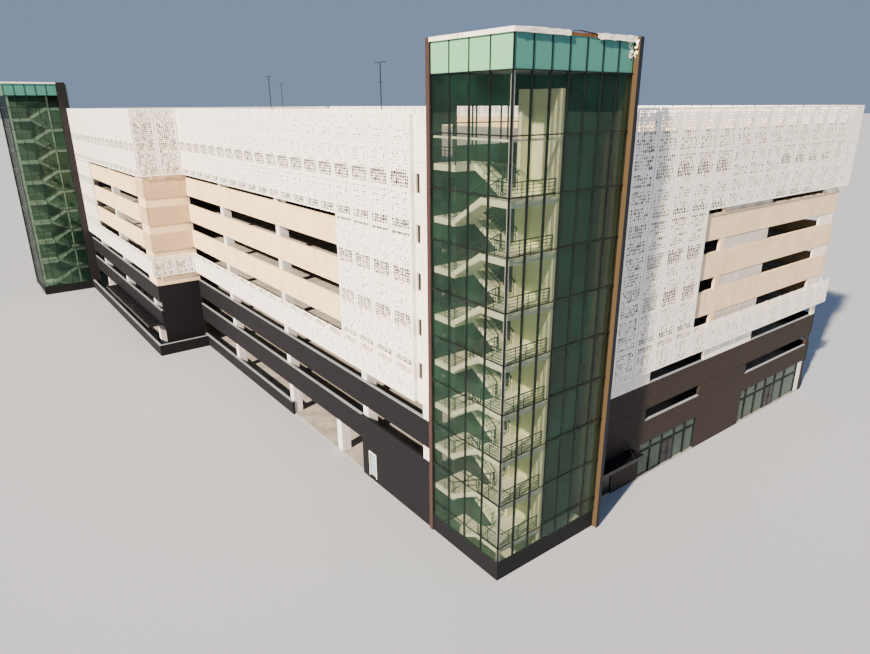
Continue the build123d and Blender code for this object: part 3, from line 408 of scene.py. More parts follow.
def fin_cladding(name, brick_tones, far, metal, edge):
    """Brown brick on the near left fin, near black far fins, folded tan metal whose street-facing
    side is painted dark blue as shade.
    """
    material = dark_brick(name, *brick_tones)
    repaint(material, share_along(material, "Object", "X", *FAR_SIDE), far)
    # painted shade: the metal fold's street-facing side turns dark blue
    street = share_along(material, "Normal", "X", *FACING)
    folded_with_painted_shade = add(material, "ShaderNodeMix", {0: street, 6: metal, 7: edge}, data_type="RGBA")
    right = share_along(material, "Object", "X", *STREET_FIN)
    repaint(material, right, folded_with_painted_shade.outputs[2])
    return material


def make_finishes():
    """Every finish of the building, by a short name."""
    return {
        # Broom-finished structural concrete: pale grey, matt, with tyre-dark patches
        "deck": mineral("broomed_deck_concrete", "#9A9791", "#7E7B76", "#5E5C59", 0.85),
        # Painted precast column: clean white with slight grime
        "column": mineral("painted_precast_column", "#E4E4E6", "#D2D3D6", "#A9A9AA", 0.6),
        # Dark clay brick faced panels: near black with a blue cast, dull in the sun
        "brick": dark_brick("dark_clay_brick", "#14151D", "#0D0E14", "#08090D"),
        # The street side's base: the same brick in a browner firing
        "street_brick": dark_brick("brown_clay_brick", "#3E3531", "#2A2421", "#1D1917"),
        # Acid-etched cream precast: warm, matt, with a fine grit
        "cream": mineral("etched_cream_precast", "#EFD6B2", "#E2C8A2", "#BDA27E", 0.75),
        # Corner of the wing: tanner panels with a paler stretch in each storey
        "corner": banded_precast(
            "banded_cream_precast", "#C9AF90", "#BCA283", "#A08768", "#E9CFAD"
        ),
        # The same precast in grey between the street side's solid panels
        "grey": mineral("etched_grey_precast", "#CFC8BD", "#BDB6AC", "#9A9288", 0.75),
        # White precast of the street fascia and of the wall beside the near tower
        "white": mineral("etched_white_precast", "#F8F3E8", "#EEE8DC", "#CFC8BA", 0.7),
        # Blue-grey cast stone caps: thin light lines over the dark walls
        "cap": mineral("light_cast_stone", "#858D96", "#747C85", "#5F666D", 0.7),
        # White powder coat on perforated aluminium: satin, nearly flawless
        "screen": painted("white_powder_coat", "#FDFBF7", "#F4F2EE", 0.42),
        # The same sheet with painted shade: its inner side is dark, so that its holes read dark
        "screen_with_painted_shade": painted_shade_inside("sheet_with_painted_shade_inside", "#FDFBF7", "#F4F2EE", "#1B1C20"),
        # Coated posts behind the screens: white, a shade duller than the sheet
        "rail": painted("white_coated_rail", "#E9E8E6", "#D6D5D4", 0.5),
        # Dark anodised cap bars: near black metal with a dull sheen
        "bar": painted("dark_anodised_aluminium", "#24282B", "#15181B", 0.38, 0.6),
        # Green body-tinted float glass: clear from ahead, deep green where it mirrors
        "glass": green_glass("green_float_glass", "#101E16", "#1C3A2C", 0.22),
        # Grey-green shop glass: darker, with more of the sky in it
        "shop_glass": green_glass("grey_float_glass", "#26302C", "#3F4D47", 0.55),
        # Fired green enamel behind glass: opaque, glossy, slightly cloudy, its street side painted
        # darker as shade
        "enamel": enamel_with_street_shade("green_enamel_with_painted_street_shade", "#72AD88", "#6BA782", "#437F74"),
        # Coping metal: warm white with a soft gloss
        "coping": painted("white_coated_sheet", "#F3EEE5", "#E2DCD2", 0.4),
        # Exposed sheathing board: orange brown wood
        "sheathing": mineral("sheathing_board", "#B97A3A", "#9A602B", "#7A4A22", 0.8, 300.0, 20.0),
        # The towers' edges: brown brick, near black brick and a tan metal fold with painted shade
        # on its street-facing side
        "fin": fin_cladding(
            "brick_and_tan_metal_with_painted_shade", ("#4C3832", "#36292A", "#241D1E"),
            "#1D1B1E", "#463A28", "#1A1F28",
        ),
        # Pale painted stair steel with precast treads, bright behind the glass
        "stair": painted("pale_stair_steel", "#F3F8DC", "#E6EFCB", 0.5),
        # The far tower's stair, greener behind its glass
        "far_stair": painted("green_grey_stair_steel", "#A9C9B2", "#98BAA2", 0.5),
        # Cream paint beside the near tower's galleries, a dark colour painted as shade elsewhere
        "core": core_wall(
            "block_work_with_painted_shade", "#E6EDC4", "#D8E1B4", "#2B332C", "#202823", "#55705F"
        ),
        # The towers' roofs: white sheet, faintly streaked
        "membrane": mineral("white_roof_membrane", "#E3E1DB", "#D0CEC8", "#A5A39E", 0.6),
        # White steel of the near tower's corner post and the service door's frame
        "post": painted("white_painted_steel", "#FBFBF5", "#F0F0EA", 0.4),
        # Service door: cool blue grey, satin
        "door": painted("blue_grey_door_paint", "#93A6B8", "#8095A8", 0.4),
        # Glazed street doors: near black metal and dark panes
        "dark_door": painted("dark_door_frame", "#23262A", "#17191C", 0.35, 0.5),
        # Canopies: black steel with a low gloss that the sun picks out
        "canopy": painted("black_painted_steel", "#15171B", "#0B0D12", 0.32, 0.3),
        # Roof lights: thin dark bronze lines against the sky
        "lamp": painted("dark_bronze_lamp", "#1C1C20", "#101014", 0.4, 0.4),
        # Window panes, near black as painted shade of the dark room behind them
        "pane_painted_shade": painted("window_pane_painted_shade", "#0B0B0C", "#070708", 0.3, dust=2000.0),
    }


NODE_FINISHES = {
    "deck": [f"deck_level_{n}" for n in range(2, 9)] + [
        "ground_floor", "roof_deck", "street_thresholds",
    ],
    "column": ["inner_columns", "outer_columns", "street_corner_column"],
    "brick": [
        "dark_spandrels_front", "dark_spandrels_rear", "front_base_wall", "return_base_wall",
        "knee_walls", "tower_plinths",
    ],
    "street_brick": ["street_base_wall"],
    "cream": ["cream_spandrels_front", "cream_spandrels_rear", "cream_panels_street"],
    "corner": ["wing_corner_panels"],
    "grey": ["grey_infill_street"],
    "white": ["white_fascia_street", "tower_link_wall"],
    "cap": ["knee_wall_caps"],
    "screen_with_painted_shade": ["screens_front", "screens_wing", "screens_street"],
    "screen": ["screens_rear"],
    "rail": ["screen_rails"],
    "bar": ["tower_a_glass_bars", "tower_b_glass_bars", "shopfront_bars"],
    "glass": ["tower_glass"],
    "shop_glass": ["shopfront_glass"],
    "enamel": ["tower_green_bands"],
    "coping": ["tower_copings"],
    "sheathing": ["coping_blocking"],
    "fin": ["tower_fins"],
    "stair": ["tower_a_flights", "tower_a_landings"],
    "far_stair": ["tower_b_flights", "tower_b_landings"],
    "core": ["tower_core_walls", "tower_deck_walls"],
    "membrane": ["tower_roofs"],
    "post": ["tower_a_corner_posts"],
    "door": ["service_door"],
    "dark_door": [
        "lobby_door_left", "lobby_door_right", "shop_1_door_left", "shop_1_door_right",
        "shop_2_door_left", "shop_2_door_right",
    ],
    "canopy": ["street_canopy", "wing_canopy"],
    "lamp": ["roof_lights"],
}


def dress_nodes(finishes):
    """Gives every CAD piece its finish."""
    for finish, names in NODE_FINISHES.items():
        for name in names:
            slots = NODES[name].data.materials
            slots.clear()
            slots.append(finishes[finish])


# Making pieces

UPRIGHT = 0.999
MERGE_WITHIN = 0.05 * MM
EASED_EDGE = 0.6
FINE_EDGE = 0.3


def spot(x, y, z):
    """A place in the scene, from millimetres of the part."""
    return CORNER + Vector((x, y, z)) * MM


def join(pieces):
    """Several pieces as one mesh."""
    deselect()
    for piece in pieces:
        piece.select_set(True)
    bpy.context.view_layer.objects.active = pieces[0]
    if len(pieces) > 1:
        bpy.ops.object.join()
    return bpy.context.object


def settle(piece, name, finish, nodes=(), body="building"):
    """Names a finished piece, puts its place in its mesh and lets it ride on its body."""
    pick(piece)
    bpy.ops.object.transform_apply(location=True, rotation=True, scale=True)
    piece.name = name
    piece.data.name = name
    piece.data.materials.clear()
    piece.data.materials.append(finish)
    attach(piece, body)
    if nodes:
        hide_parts(*nodes)


def thicken(sheet, thickness, offset):
    """Gives a flat sheet its thickness."""
    solid = sheet.modifiers.new("thickness", "SOLIDIFY")
    solid.thickness = thickness
    solid.offset = offset
    bpy.ops.object.modifier_apply(modifier="thickness")


def select_faces(piece, numbers):
    """Selects these faces of a piece in edit mode and nothing else."""
    bpy.ops.mesh.select_all(action="DESELECT")
    bpy.ops.object.mode_set(mode="OBJECT")
    for number in numbers:
        piece.data.polygons[number].select = True
    bpy.ops.object.mode_set(mode="EDIT")


def bars(runs, edge=EASED_EDGE):
    """Bars with eased edges as one mesh, each given by its two ends, its width and its height."""
    deselect()
    for number, (start, end, wide, high) in enumerate(runs):
        low = spot(*start)
        top = spot(*end)
        along = (top - low).normalized()
        side = Vector((0, 0, 1)).cross(along).normalized()
        if abs(along.z) > UPRIGHT:
            side = Vector((0, 1, 0))
        turn = Matrix((along, side, along.cross(side))).transposed().to_euler()
        bpy.ops.mesh.primitive_cube_add(
            size=1.0, location=(low + top) / 2, rotation=turn,
            scale=((top - low).length, wide * MM, high * MM),
        )
        if number == 0:
            bpy.ops.object.transform_apply(location=True, rotation=True, scale=True)
            bpy.ops.object.mode_set(mode="EDIT")
            bpy.ops.mesh.select_mode(type="VERT")
    bpy.ops.mesh.select_all(action="SELECT")
    bpy.ops.mesh.bevel(offset=edge * MM, segments=1, affect="EDGES")
    bpy.ops.object.mode_set(mode="OBJECT")
    return bpy.context.object


def solids_of(name):
    """Low and high corners of each separate solid of a CAD piece."""
    copy = NODES[name].copy()
    copy.data = NODES[name].data.copy()
    copy.parent = None
    bpy.context.scene.collection.objects.link(copy)
    pick(copy)
    bpy.ops.object.mode_set(mode="EDIT")
    bpy.ops.mesh.select_all(action="SELECT")
    bpy.ops.mesh.remove_doubles(threshold=MERGE_WITHIN)
    bpy.ops.mesh.separate(type="LOOSE")
    bpy.ops.object.mode_set(mode="OBJECT")
    loose = list(bpy.context.selected_objects)
    corners = [(Vector(part.bound_box[0]), Vector(part.bound_box[6])) for part in loose]
    meshes = [part.data for part in loose]
    bpy.ops.object.delete()
    for mesh in meshes:
        bpy.data.meshes.remove(mesh)
    return corners


# Perforated screens: plain borders, the sheet and the cells of one hole each, in metres

PLATE_SIDE = 19 * MM
PLATE_END = 12 * MM
SHEET = 1.0 * MM
CELL = 20 * MM
STREET_CELL = 23 * MM
REAR_CELL = 36 * MM
OPENING_FOOT = BAND_ABOVE * MM
OPENING_HEAD = 262 * MM
UPPER_PLATES = 2.3
FIRST_SEED = 7

# How far the cells stray from an even grid, in cells, and how fast the swing turns
CELL_SHIFT = 0.2
COLUMN_SWING = 0.15
COLUMN_TURN = 2.2
ROW_SWING = 0.15
ROW_TURN = 1.9

# Metal left round a hole, in cells, from no hole to the widest, and how often each one comes
HOLE_RIMS = (None, 0.41, 0.36, 0.29, 0.19, 0.11, 0.06)
BEFORE_WALLS = (4, 2, 6, 6, 3, 0, 0)
BEFORE_OPENINGS = (0, 0, 0, 1, 3, 7, 9)
STREET_WALLS = (1, 0, 2, 6, 8, 4, 1)
RETURN_WALLS = (2, 0, 0, 4, 7, 7, 4)
TILE_EDGES = (3, 3, 5, 5, 2, 0, 0)
TILE_ROWS = 5
STREET_OPENINGS = ((1480.0, 2560.0), (3341.0, 4480.0))


def side_of(size, middle):
    """Which way a plate faces: the front, the street, or the wing's return beside the front."""
    if size.x >= size.y:
        return "front"
    return "street" if middle.y > CORNER.y else "return"


def before_opening(middle, side):
    """True where a plate hangs before a row of openings rather than a closed wall."""
    along = (middle - CORNER).y / MM
    return side == "front" or any(start < along < end for start, end in STREET_OPENINGS)


def hole_sizes(plate, middle, cell, side, opening, draw):
    """Each cell's hole: large and close before the openings, smaller and fewer before the walls."""
    sizes = []
    walls = {"street": STREET_WALLS, "return": RETURN_WALLS}.get(side, BEFORE_WALLS)
    for face in plate.data.polygons:
        high = middle + face.center.y
        up = (high - LEVELS[0] * MM) % (STOREY * MM)
        shares = walls
        if side == "street" and math.floor(high / cell) % TILE_ROWS == 0:
            shares = TILE_EDGES
        if opening and OPENING_FOOT < up < OPENING_HEAD and high < ROOF * MM:
            shares = BEFORE_OPENINGS
        sizes += draw.choices(range(len(HOLE_RIMS)), shares)
    return sizes


def even_cells(wide, high, cell):
    """The plate's perforated part flat on the ground about the origin, one face a cell."""
    columns = max(2, round((wide - 2 * PLATE_SIDE) / cell))
    rows = max(2, round((high - 2 * PLATE_END) / cell))
    deselect()
    bpy.ops.mesh.primitive_grid_add(x_subdivisions=columns, y_subdivisions=rows, size=1.0)
    plate = bpy.context.object
    plate.scale = (wide - 2 * PLATE_SIDE, high - 2 * PLATE_END, 1.0)
    bpy.ops.object.transform_apply(scale=True)
    return plate


def shift_cells(plate, wide, high, cell, seed):
    """Moves the inner corners of the cells, in swings and at random; stays in edit mode."""
    edge_x = wide / 2 - PLATE_SIDE - MM
    edge_y = high / 2 - PLATE_END - MM
    inner = [abs(v.co.x) < edge_x and abs(v.co.y) < edge_y for v in plate.data.vertices]
    bpy.ops.object.mode_set(mode="EDIT")
    bpy.ops.mesh.select_mode(type="VERT")
    bpy.ops.mesh.select_all(action="DESELECT")
    bpy.ops.object.mode_set(mode="OBJECT")
    for vertex, chosen in zip(plate.data.vertices, inner):
        vertex.select = chosen
        if chosen:
            across, up = vertex.co.x / cell, vertex.co.y / cell
            vertex.co.x += cell * ROW_SWING * math.sin(up * ROW_TURN)
            vertex.co.y += cell * COLUMN_SWING * math.sin(across * COLUMN_TURN)
    bpy.ops.object.mode_set(mode="EDIT")
    bpy.ops.transform.vertex_random(offset=cell * CELL_SHIFT, uniform=0.3, normal=0.0, seed=seed)
    bpy.ops.mesh.select_all(action="SELECT")
    bpy.ops.transform.resize(value=(1, 1, 0), center_override=(0, 0, 0))


def cut_holes(plate, cell, sizes):
    """Insets each cell by its rim and takes its middle out."""
    bpy.ops.mesh.select_mode(type="FACE")
    for size, rim in enumerate(HOLE_RIMS):
        if rim is not None:
            select_faces(plate, [i for i, s in enumerate(sizes) if s == size])
            bpy.ops.mesh.inset(thickness=cell * rim, use_individual=True)
    select_faces(plate, [i for i, s in enumerate(sizes) if HOLE_RIMS[s] is not None])
    bpy.ops.mesh.delete(type="FACE")
    bpy.ops.object.mode_set(mode="OBJECT")


def edge_on_border(plate, a, b, edge_x, edge_y):
    """True where both ends lie on the same outer line of the plate."""
    first = plate.data.vertices[a].co
    second = plate.data.vertices[b].co
    upright = abs(first.x) > edge_x and abs(second.x) > edge_x and first.x * second.x > 0
    level = abs(first.y) > edge_y and abs(second.y) > edge_y and first.y * second.y > 0
    return upright or level


def widen_border(plate, wide, high):
    """Draws the plate's outer edge out to its full size, which leaves a plain border."""
    edge_x = wide / 2 - PLATE_SIDE - MM
    edge_y = high / 2 - PLATE_END - MM
    rim = [abs(v.co.x) > edge_x or abs(v.co.y) > edge_y for v in plate.data.vertices]
    bpy.ops.object.mode_set(mode="EDIT")
    bpy.ops.mesh.select_mode(type="EDGE")
    bpy.ops.mesh.select_all(action="DESELECT")
    bpy.ops.object.mode_set(mode="OBJECT")
    for edge in plate.data.edges:
        a, b = edge.vertices
        edge.select = rim[a] and rim[b] and edge_on_border(plate, a, b, edge_x, edge_y)
    bpy.ops.object.mode_set(mode="EDIT")
    bpy.ops.mesh.extrude_edges_move()
    bpy.ops.transform.resize(
        value=(wide / (wide - 2 * PLATE_SIDE), high / (high - 2 * PLATE_END), 1),
        center_override=(0, 0, 0),
    )
    bpy.ops.object.mode_set(mode="OBJECT")


def perforated_plate(wide, high, middle, cell, side, opening, seed):
    """One plate flat on the ground about the origin: uneven cells, many with an angular hole."""
    plate = even_cells(wide, high, cell)
    sizes = hole_sizes(plate, middle, cell, side, opening, random.Random(seed))
    shift_cells(plate, wide, high, cell, seed)
    cut_holes(plate, cell, sizes)
    widen_border(plate, wide, high)
    thicken(plate, SHEET, 0.0)
    return plate


def hang(base, middle, side):
    """A copy of a plate turned upright in its place, with a mesh of its own."""
    plate = base.copy()
    plate.data = base.data.copy()
    bpy.context.scene.collection.objects.link(plate)
    turn = math.radians(90)
    plate.rotation_euler = (turn, 0, 0 if side == "front" else turn)
    plate.location = middle
    return plate


def screen_piece(name, node, finish, cell=CELL):
    """All plates of one CAD screen piece, each with its holes, as an upper and a lower mesh."""
    bases = {}
    plates = []
    for low, high in solids_of(node):
        size = high - low
        middle = (low + high) / 2
        side = side_of(size, middle)
        wide = size.x if side == "front" else size.y
        opening = before_opening(middle, side)
        key = (round(wide, 3), round(size.z, 3), opening, side)
        if key not in bases:
            pitch = STREET_CELL if side != "front" and cell == CELL else cell
            bases[key] = perforated_plate(
                wide, size.z, middle.z, pitch, side, opening, FIRST_SEED + len(bases)
            )
        plates.append(hang(bases[key], middle, side))
    for base in bases.values():
        bpy.data.objects.remove(base)
    upper = [plate for plate in plates if plate.location.z > UPPER_PLATES]
    lower = [plate for plate in plates if plate.location.z <= UPPER_PLATES]
    settle(join(upper), f"{name}_top", finish, [node])
    settle(join(lower), f"{name}_low", finish, [node])


POST_SHORT = 15.0
POST_EDGE = 1.0


def screen_posts(finishes):
    """The screens' upright rails with eased edges, a little short of the plates' top."""
    runs = []
    for low, high in solids_of("screen_rails"):
        foot = (low - CORNER) / MM
        head = (high - CORNER) / MM
        x, y = (foot.x + head.x) / 2, (foot.y + head.y) / 2
        ends = (x, y, foot.z), (x, y, head.z - POST_SHORT)
        runs.append((*ends, head.y - foot.y, head.x - foot.x))
    settle(
        bars(runs, POST_EDGE), "screen_posts", finishes["rail"], ["screen_rails"]
    )


# Stair towers, from here on in millimetres: along a flight, across it and up

FLIGHT_RUN = 252.0
FLIGHT_WIDE = 128.0
FLIGHT_WELL = 22.0
RAIL_UP = 98.0
KNEE_RAIL_SHARE = 0.55
HANDRAIL = 6.0
THIN_BAR = 3.0
RAIL_POST = 4.0
RAIL_IN = 3.0
POST_PITCH = 95.0
POST_FROM_END = 4.0
POST_SHARES = (0.05, 0.5, 0.95)
FOOT_LIFT = 8.0
GUARD_BARS = 5
GUARD_IN = 5.0
STRING_HIGH = 32.0
STRING_DROP = 6.0
STRING_OUT = 2.0
STAIR_A_AT = (-225.0, 16.0)
STAIR_B_AT = (-9632.0, -817.0)
FIRST_LANDING_A = 236.6
GALLERY_A_END = -455.0
GALLERY_A_RETURN = 60.0
LANDING_A_LONG = 204.0
LANDING_A_WIDE = 362.0
GALLERY_B_END = -505.0
GALLERY_B_RETURN = 270.0
FLOOR_B_BACK = -12.0
FLOOR_B_LONG = 180.0


def tower_a_place(along, across, z):
    """The near tower's stair: along its flights from the gallery's edge, across from the glass."""
    return (STAIR_A_AT[0] + along, STAIR_A_AT[1] + across, z)


def tower_b_place(along, across, z):
    """The far tower's stair, turned a quarter: along its flights from the floors' edge."""
    return (STAIR_B_AT[0] - across, STAIR_B_AT[1] + along, z)


def guard(place_at, start, end, z):
    """A straight guard between two spots of a floor: posts, level bars and a handrail."""
    runs = []
    for i in range(1, GUARD_BARS + 1):
        up = z + RAIL_UP * i / GUARD_BARS
        thick = HANDRAIL if i == GUARD_BARS else THIN_BAR
        runs.append((place_at(*start, up), place_at(*end, up), thick, thick))
    long = math.dist(start, end)
    count = max(1, round(long / POST_PITCH))
    for i in range(count + 1):
        share = (POST_FROM_END + (long - 2 * POST_FROM_END) * i / count) / long
        foot = [a + (b - a) * share for a, b in zip(start, end)]
        runs.append((place_at(*foot, z), place_at(*foot, z + RAIL_UP), RAIL_POST, RAIL_POST))
    return runs


def flight_ends(back):
    """Where a flight has its foot and its head along the stair, and its near side across."""
    if back:
        return 0.0, -FLIGHT_RUN, FLIGHT_WIDE + FLIGHT_WELL
    return -FLIGHT_RUN, 0.0, 0.0


def flight_rails(place_at, foot, rise, back):
    """Handrail, knee rail and posts on both sides of one flight that rises from its foot."""
    runs = []
    low, high, near = flight_ends(back)
    for across in (near + RAIL_IN, near + FLIGHT_WIDE - RAIL_IN):
        for up, thick in ((RAIL_UP, HANDRAIL), (RAIL_UP * KNEE_RAIL_SHARE, THIN_BAR)):
            start = place_at(low, across, foot + up + FOOT_LIFT)
            end = place_at(high, across, foot + rise + up)
            runs.append((start, end, thick, thick))
        for share in POST_SHARES:
            at = low + (high - low) * share
            z = foot + rise * share
            start = place_at(at, across, z)
            end = place_at(at, across, z + RAIL_UP)
            runs.append((start, end, RAIL_POST, RAIL_POST))
    return runs


def flight_strings(place_at, foot, rise, back):
    """The pale steel strings on both sides of one flight."""
    runs = []
    low, high, near = flight_ends(back)
    for across in (near - STRING_OUT, near + FLIGHT_WIDE + STRING_OUT):
        start = place_at(low, across, foot - STRING_DROP)
        end = place_at(high, across, foot + rise - STRING_DROP)
        runs.append((start, end, THIN_BAR, STRING_HIGH))
    return runs


def flights(place_at, levels, backs):
    """Rails and strings of two flights a storey; backs says which of them run back."""
    half = STOREY / 2
    rails = []
    strings = []
    for level in levels:
        for foot, back in zip((level, level + half), backs):
            rails += flight_rails(place_at, foot, half, back)
            strings += flight_strings(place_at, foot, half, back)
    return rails, strings


def near_stair_details(finishes):
    """Rails and strings of the near tower's stair, and the guards of its galleries and landings."""
    rails, strings = flights(tower_a_place, LEVELS[:-1], (False, True))
    edge = GUARD_IN
    for level in LEVELS:
        corner = (GALLERY_A_END, edge)
        rails += guard(tower_a_place, corner, (-FLIGHT_RUN, edge), level)
        rails += guard(tower_a_place, corner, (GALLERY_A_END, GALLERY_A_RETURN), level)
    for level in [FIRST_LANDING_A] + HALF_LEVELS[:-1]:
        side = LANDING_A_LONG
        rails += guard(tower_a_place, (0, edge), (side - RAIL_POST, edge), level)
        rails += guard(tower_a_place, (side, edge), (side, LANDING_A_WIDE), level)
        well = (RAIL_IN, FLIGHT_WIDE), (RAIL_IN, FLIGHT_WIDE + FLIGHT_WELL)
        rails += guard(tower_a_place, *well, level)
    head = -FLIGHT_RUN - RAIL_IN
    rails += guard(tower_a_place, (head, edge), (head, FLIGHT_WIDE - RAIL_IN), ROOF)
    settle(bars(rails), "tower_a_rails", finishes["bar"])
    settle(bars(strings), "tower_a_strings", finishes["stair"])


def far_stair_details(finishes):
    """Rails and strings of the far tower's stair, and the guards of its floors and landings."""
    rails, strings = flights(tower_b_place, LEVELS, (True, False))
    for level in LEVELS + [ROOF + STOREY]:
        floor = (RAIL_IN, FLOOR_B_BACK), (FLOOR_B_LONG, FLOOR_B_BACK)
        rails += guard(tower_b_place, *floor, level)
    for level in HALF_LEVELS:
        corner = (GALLERY_B_END, GUARD_IN)
        rails += guard(tower_b_place, corner, (-FLIGHT_RUN, GUARD_IN), level)
        rails += guard(tower_b_place, corner, (GALLERY_B_END, GALLERY_B_RETURN), level)
    settle(bars(rails), "tower_b_rails", finishes["bar"])
    settle(bars(strings), "tower_b_strings", finishes["far_stair"])


GLASS_FOOT = 134.0
GLASS_HEAD = 3136.0
MULLION_WIDE = 6.0
MULLION_DEEP = 7.0
MULLION_IN = 8.8
CORNER_CLEAR = 4.0


def pane_lines(long, panes, first, last_at):
    """Distances of the upright bars along a glazed face, held clear of its ends."""
    return [min(max(long * i / panes, CORNER_CLEAR), last_at) for i in range(first, panes + 1)]


def mullion(x, y, wide, deep):
    """One mullion the whole height of the glass."""
    return ((x, y, GLASS_FOOT), (x, y, GLASS_HEAD), wide, deep)


def tower_mullions(finishes):
    """Mullion bodies behind the glass, one behind each upright cap bar."""
    wide, deep, back = MULLION_WIDE, MULLION_DEEP, MULLION_IN
    runs = [mullion(TOWER_A_LEFT + x, back, deep, wide) for x in pane_lines(685.0, 4, 0, 670.0)]
    runs += [mullion(-back, y, wide, deep) for y in pane_lines(957.0, 7, 1, 950.0)]
    runs += [
        mullion(TOWER_B_LEFT + x, TOWER_B_FRONT + back, deep, wide)
        for x in pane_lines(960.0, 7, 0, 945.0)
    ]
    runs += [
        mullion(TOWER_B_RIGHT - back, TOWER_B_FRONT + y, wide, deep)
        for y in pane_lines(717.0, 5, 1, 712.0)
    ]
    settle(bars(runs), "tower_mullions", finishes["bar"])


# Window between the near tower and the roof: heights over the roof, then places along it

WINDOW_IN = 17.0
WINDOW_SILL = 86.0
WINDOW_TRANSOM = 227.0
WINDOW_HEAD = 333.0
WINDOW_ENDS = (204, 858)
WINDOW_UPRIGHTS = (206, 339, 371, 582, 643, 750, 856)
WINDOW_BAR = 8.0
WINDOW_FRAME = 10.0
TRANSOM_HIGH = 7.0


def roof_storey_window(finishes):
    """The dark bars of the window between the near tower and the roof deck."""
    x = TOWER_A_LEFT - WINDOW_IN
    low, high = ROOF + WINDOW_SILL, ROOF + WINDOW_HEAD
    start, end = WINDOW_ENDS
    runs = [
        ((x, start, z), (x, end, z), WINDOW_FRAME, WINDOW_BAR)
        for z in (low + WINDOW_BAR / 2, high - WINDOW_BAR / 2)
    ]
    middle = ROOF + WINDOW_TRANSOM
    runs.append(((x, start, middle), (x, end, middle), WINDOW_BAR, TRANSOM_HIGH))
    runs += [((x, y, low), (x, y, high), WINDOW_BAR, WINDOW_FRAME) for y in WINDOW_UPRIGHTS]
    settle(bars(runs), "roof_storey_window_bars", finishes["bar"])


# Walls and openings

CAP_WIDE = 25.0
CAP_THICK = 5.0
CAP_IN = 10.0
FRONT_CAP_ENDS = (-1674.0, -722.0)
REAR_CAP = ((-10570.0, 4662.0), (-190.0, 4662.0))
LEFT_CAP = ((-10566.0, -470.0), (-10566.0, 4640.0))
STREET_CAPS = ((1773.0, 2550.0), (3341.0, 4576.0))
STREET_CAP_LEVELS = (536.0, 872.0)
STREET_CAP_X = STREET_FACE - 9.0
STREET_CAP_WIDE = 24.0
SLOT_MIDDLE = -828.5
SLOT_WIDE = 45.0
SLOT_FOOT = 125.0
SLOT_HEAD = 247.0
SLOT_PANE_IN = 14.0
SLOT_PANE = 2.0


def spandrel_caps(finishes):
    """Thin light coverings on top of the dark spandrels."""
    runs = []
    for level, front_end in zip(LEVELS, FRONT_CAP_ENDS):
        z = level + BAND_ABOVE + CAP_THICK / 2
        wing = WING_FACE + CAP_IN
        for start, end in (
            ((FRONT_END, CAP_IN), (front_end, CAP_IN)),
            ((TOWER_B_RIGHT, wing), (FRONT_END, wing)),
            REAR_CAP,
            LEFT_CAP,
        ):
            runs.append(((*start, z), (*end, z), CAP_WIDE, CAP_THICK))
    for start, end in STREET_CAPS:
        for z in STREET_CAP_LEVELS:
            ends = (STREET_CAP_X, start, z), (STREET_CAP_X, end, z)
            runs.append((*ends, STREET_CAP_WIDE, CAP_THICK))
    settle(bars(runs), "spandrel_caps", finishes["cap"])


def slot_windows(finishes):
    """Panes set back in the slots of the wall beside the near tower, near black as painted shade.
    """
    panes = []
    for level in LEVELS[2:7]:
        foot = (SLOT_MIDDLE, SLOT_PANE_IN, level + SLOT_FOOT)
        head = (SLOT_MIDDLE, SLOT_PANE_IN, level + SLOT_HEAD)
        panes.append((foot, head, SLOT_PANE, SLOT_WIDE))
    settle(bars(panes, FINE_EDGE), "slot_window_panes", finishes["pane_painted_shade"])


# Loose coping sheet: name, middle, size, turned along the street side, seed, fold, share torn out

FOLD = 9.0
CREASE = 3.4
LOOSE_SHEET = 0.6
COPING_SHEETS = (
    ("coping_sheet_left", (16.5, 205, 3321), (380, 27), True, 3, 32.0, 0.0),
    ("coping_sheet_right", (16.5, 790, 3318), (330, 31), True, 5, 26.0, 0.0),
    ("torn_sheet_on_fin", (20, 949, 3275), (26, 118), False, 8, FOLD, 0.3),
    ("torn_sheet_on_band", (6, 925, 3245), (34, 66), True, 11, FOLD, 0.5),
)
COPING_JOINT = ((-425, -13.4, 3307), (-425, -13.4, 3331), 1, 4)
# Dark bars painted as the shadow under the coping's lifted edge
LIFTED_EDGE_SHADOW = (
    ((4, 396, 3329), (6, 466, 3338), 16, 3),
    ((6, 466, 3338), (4, 619, 3327), 16, 3),
)


def crumpled_sheet(name, middle, size, turned, seed, fold, torn_share, finish):
    """A loose thin sheet, creased all over and torn at its edges, hung upright about a spot."""
    wide, high = size
    deselect()
    bpy.ops.mesh.primitive_grid_add(
        x_subdivisions=max(3, round(wide / fold)), y_subdivisions=max(3, round(high / FOLD)),
        size=1.0,
    )
    sheet = bpy.context.object
    sheet.scale = (wide * MM, high * MM, 1.0)
    bpy.ops.object.transform_apply(scale=True)
    draw = random.Random(seed)
    torn = [face.index for face in sheet.data.polygons if draw.random() < torn_share]
    bpy.ops.object.mode_set(mode="EDIT")
    bpy.ops.mesh.select_mode(type="FACE")
    select_faces(sheet, torn)
    bpy.ops.mesh.delete(type="FACE")
    bpy.ops.mesh.select_all(action="SELECT")
    bpy.ops.transform.vertex_random(offset=CREASE * MM, uniform=1.0, normal=0.0, seed=seed)
    bpy.ops.object.mode_set(mode="OBJECT")
    thicken(sheet, LOOSE_SHEET * MM, -1.0)
    smooth = sheet.modifiers.new("creases", "SUBSURF")
    smooth.levels = 1
    smooth.render_levels = 1
    bpy.ops.object.modifier_apply(modifier="creases")
    sheet.rotation_euler = (math.radians(90), 0, math.radians(90) if turned else 0)
    sheet.location = spot(*middle)
    settle(sheet, name, finish)


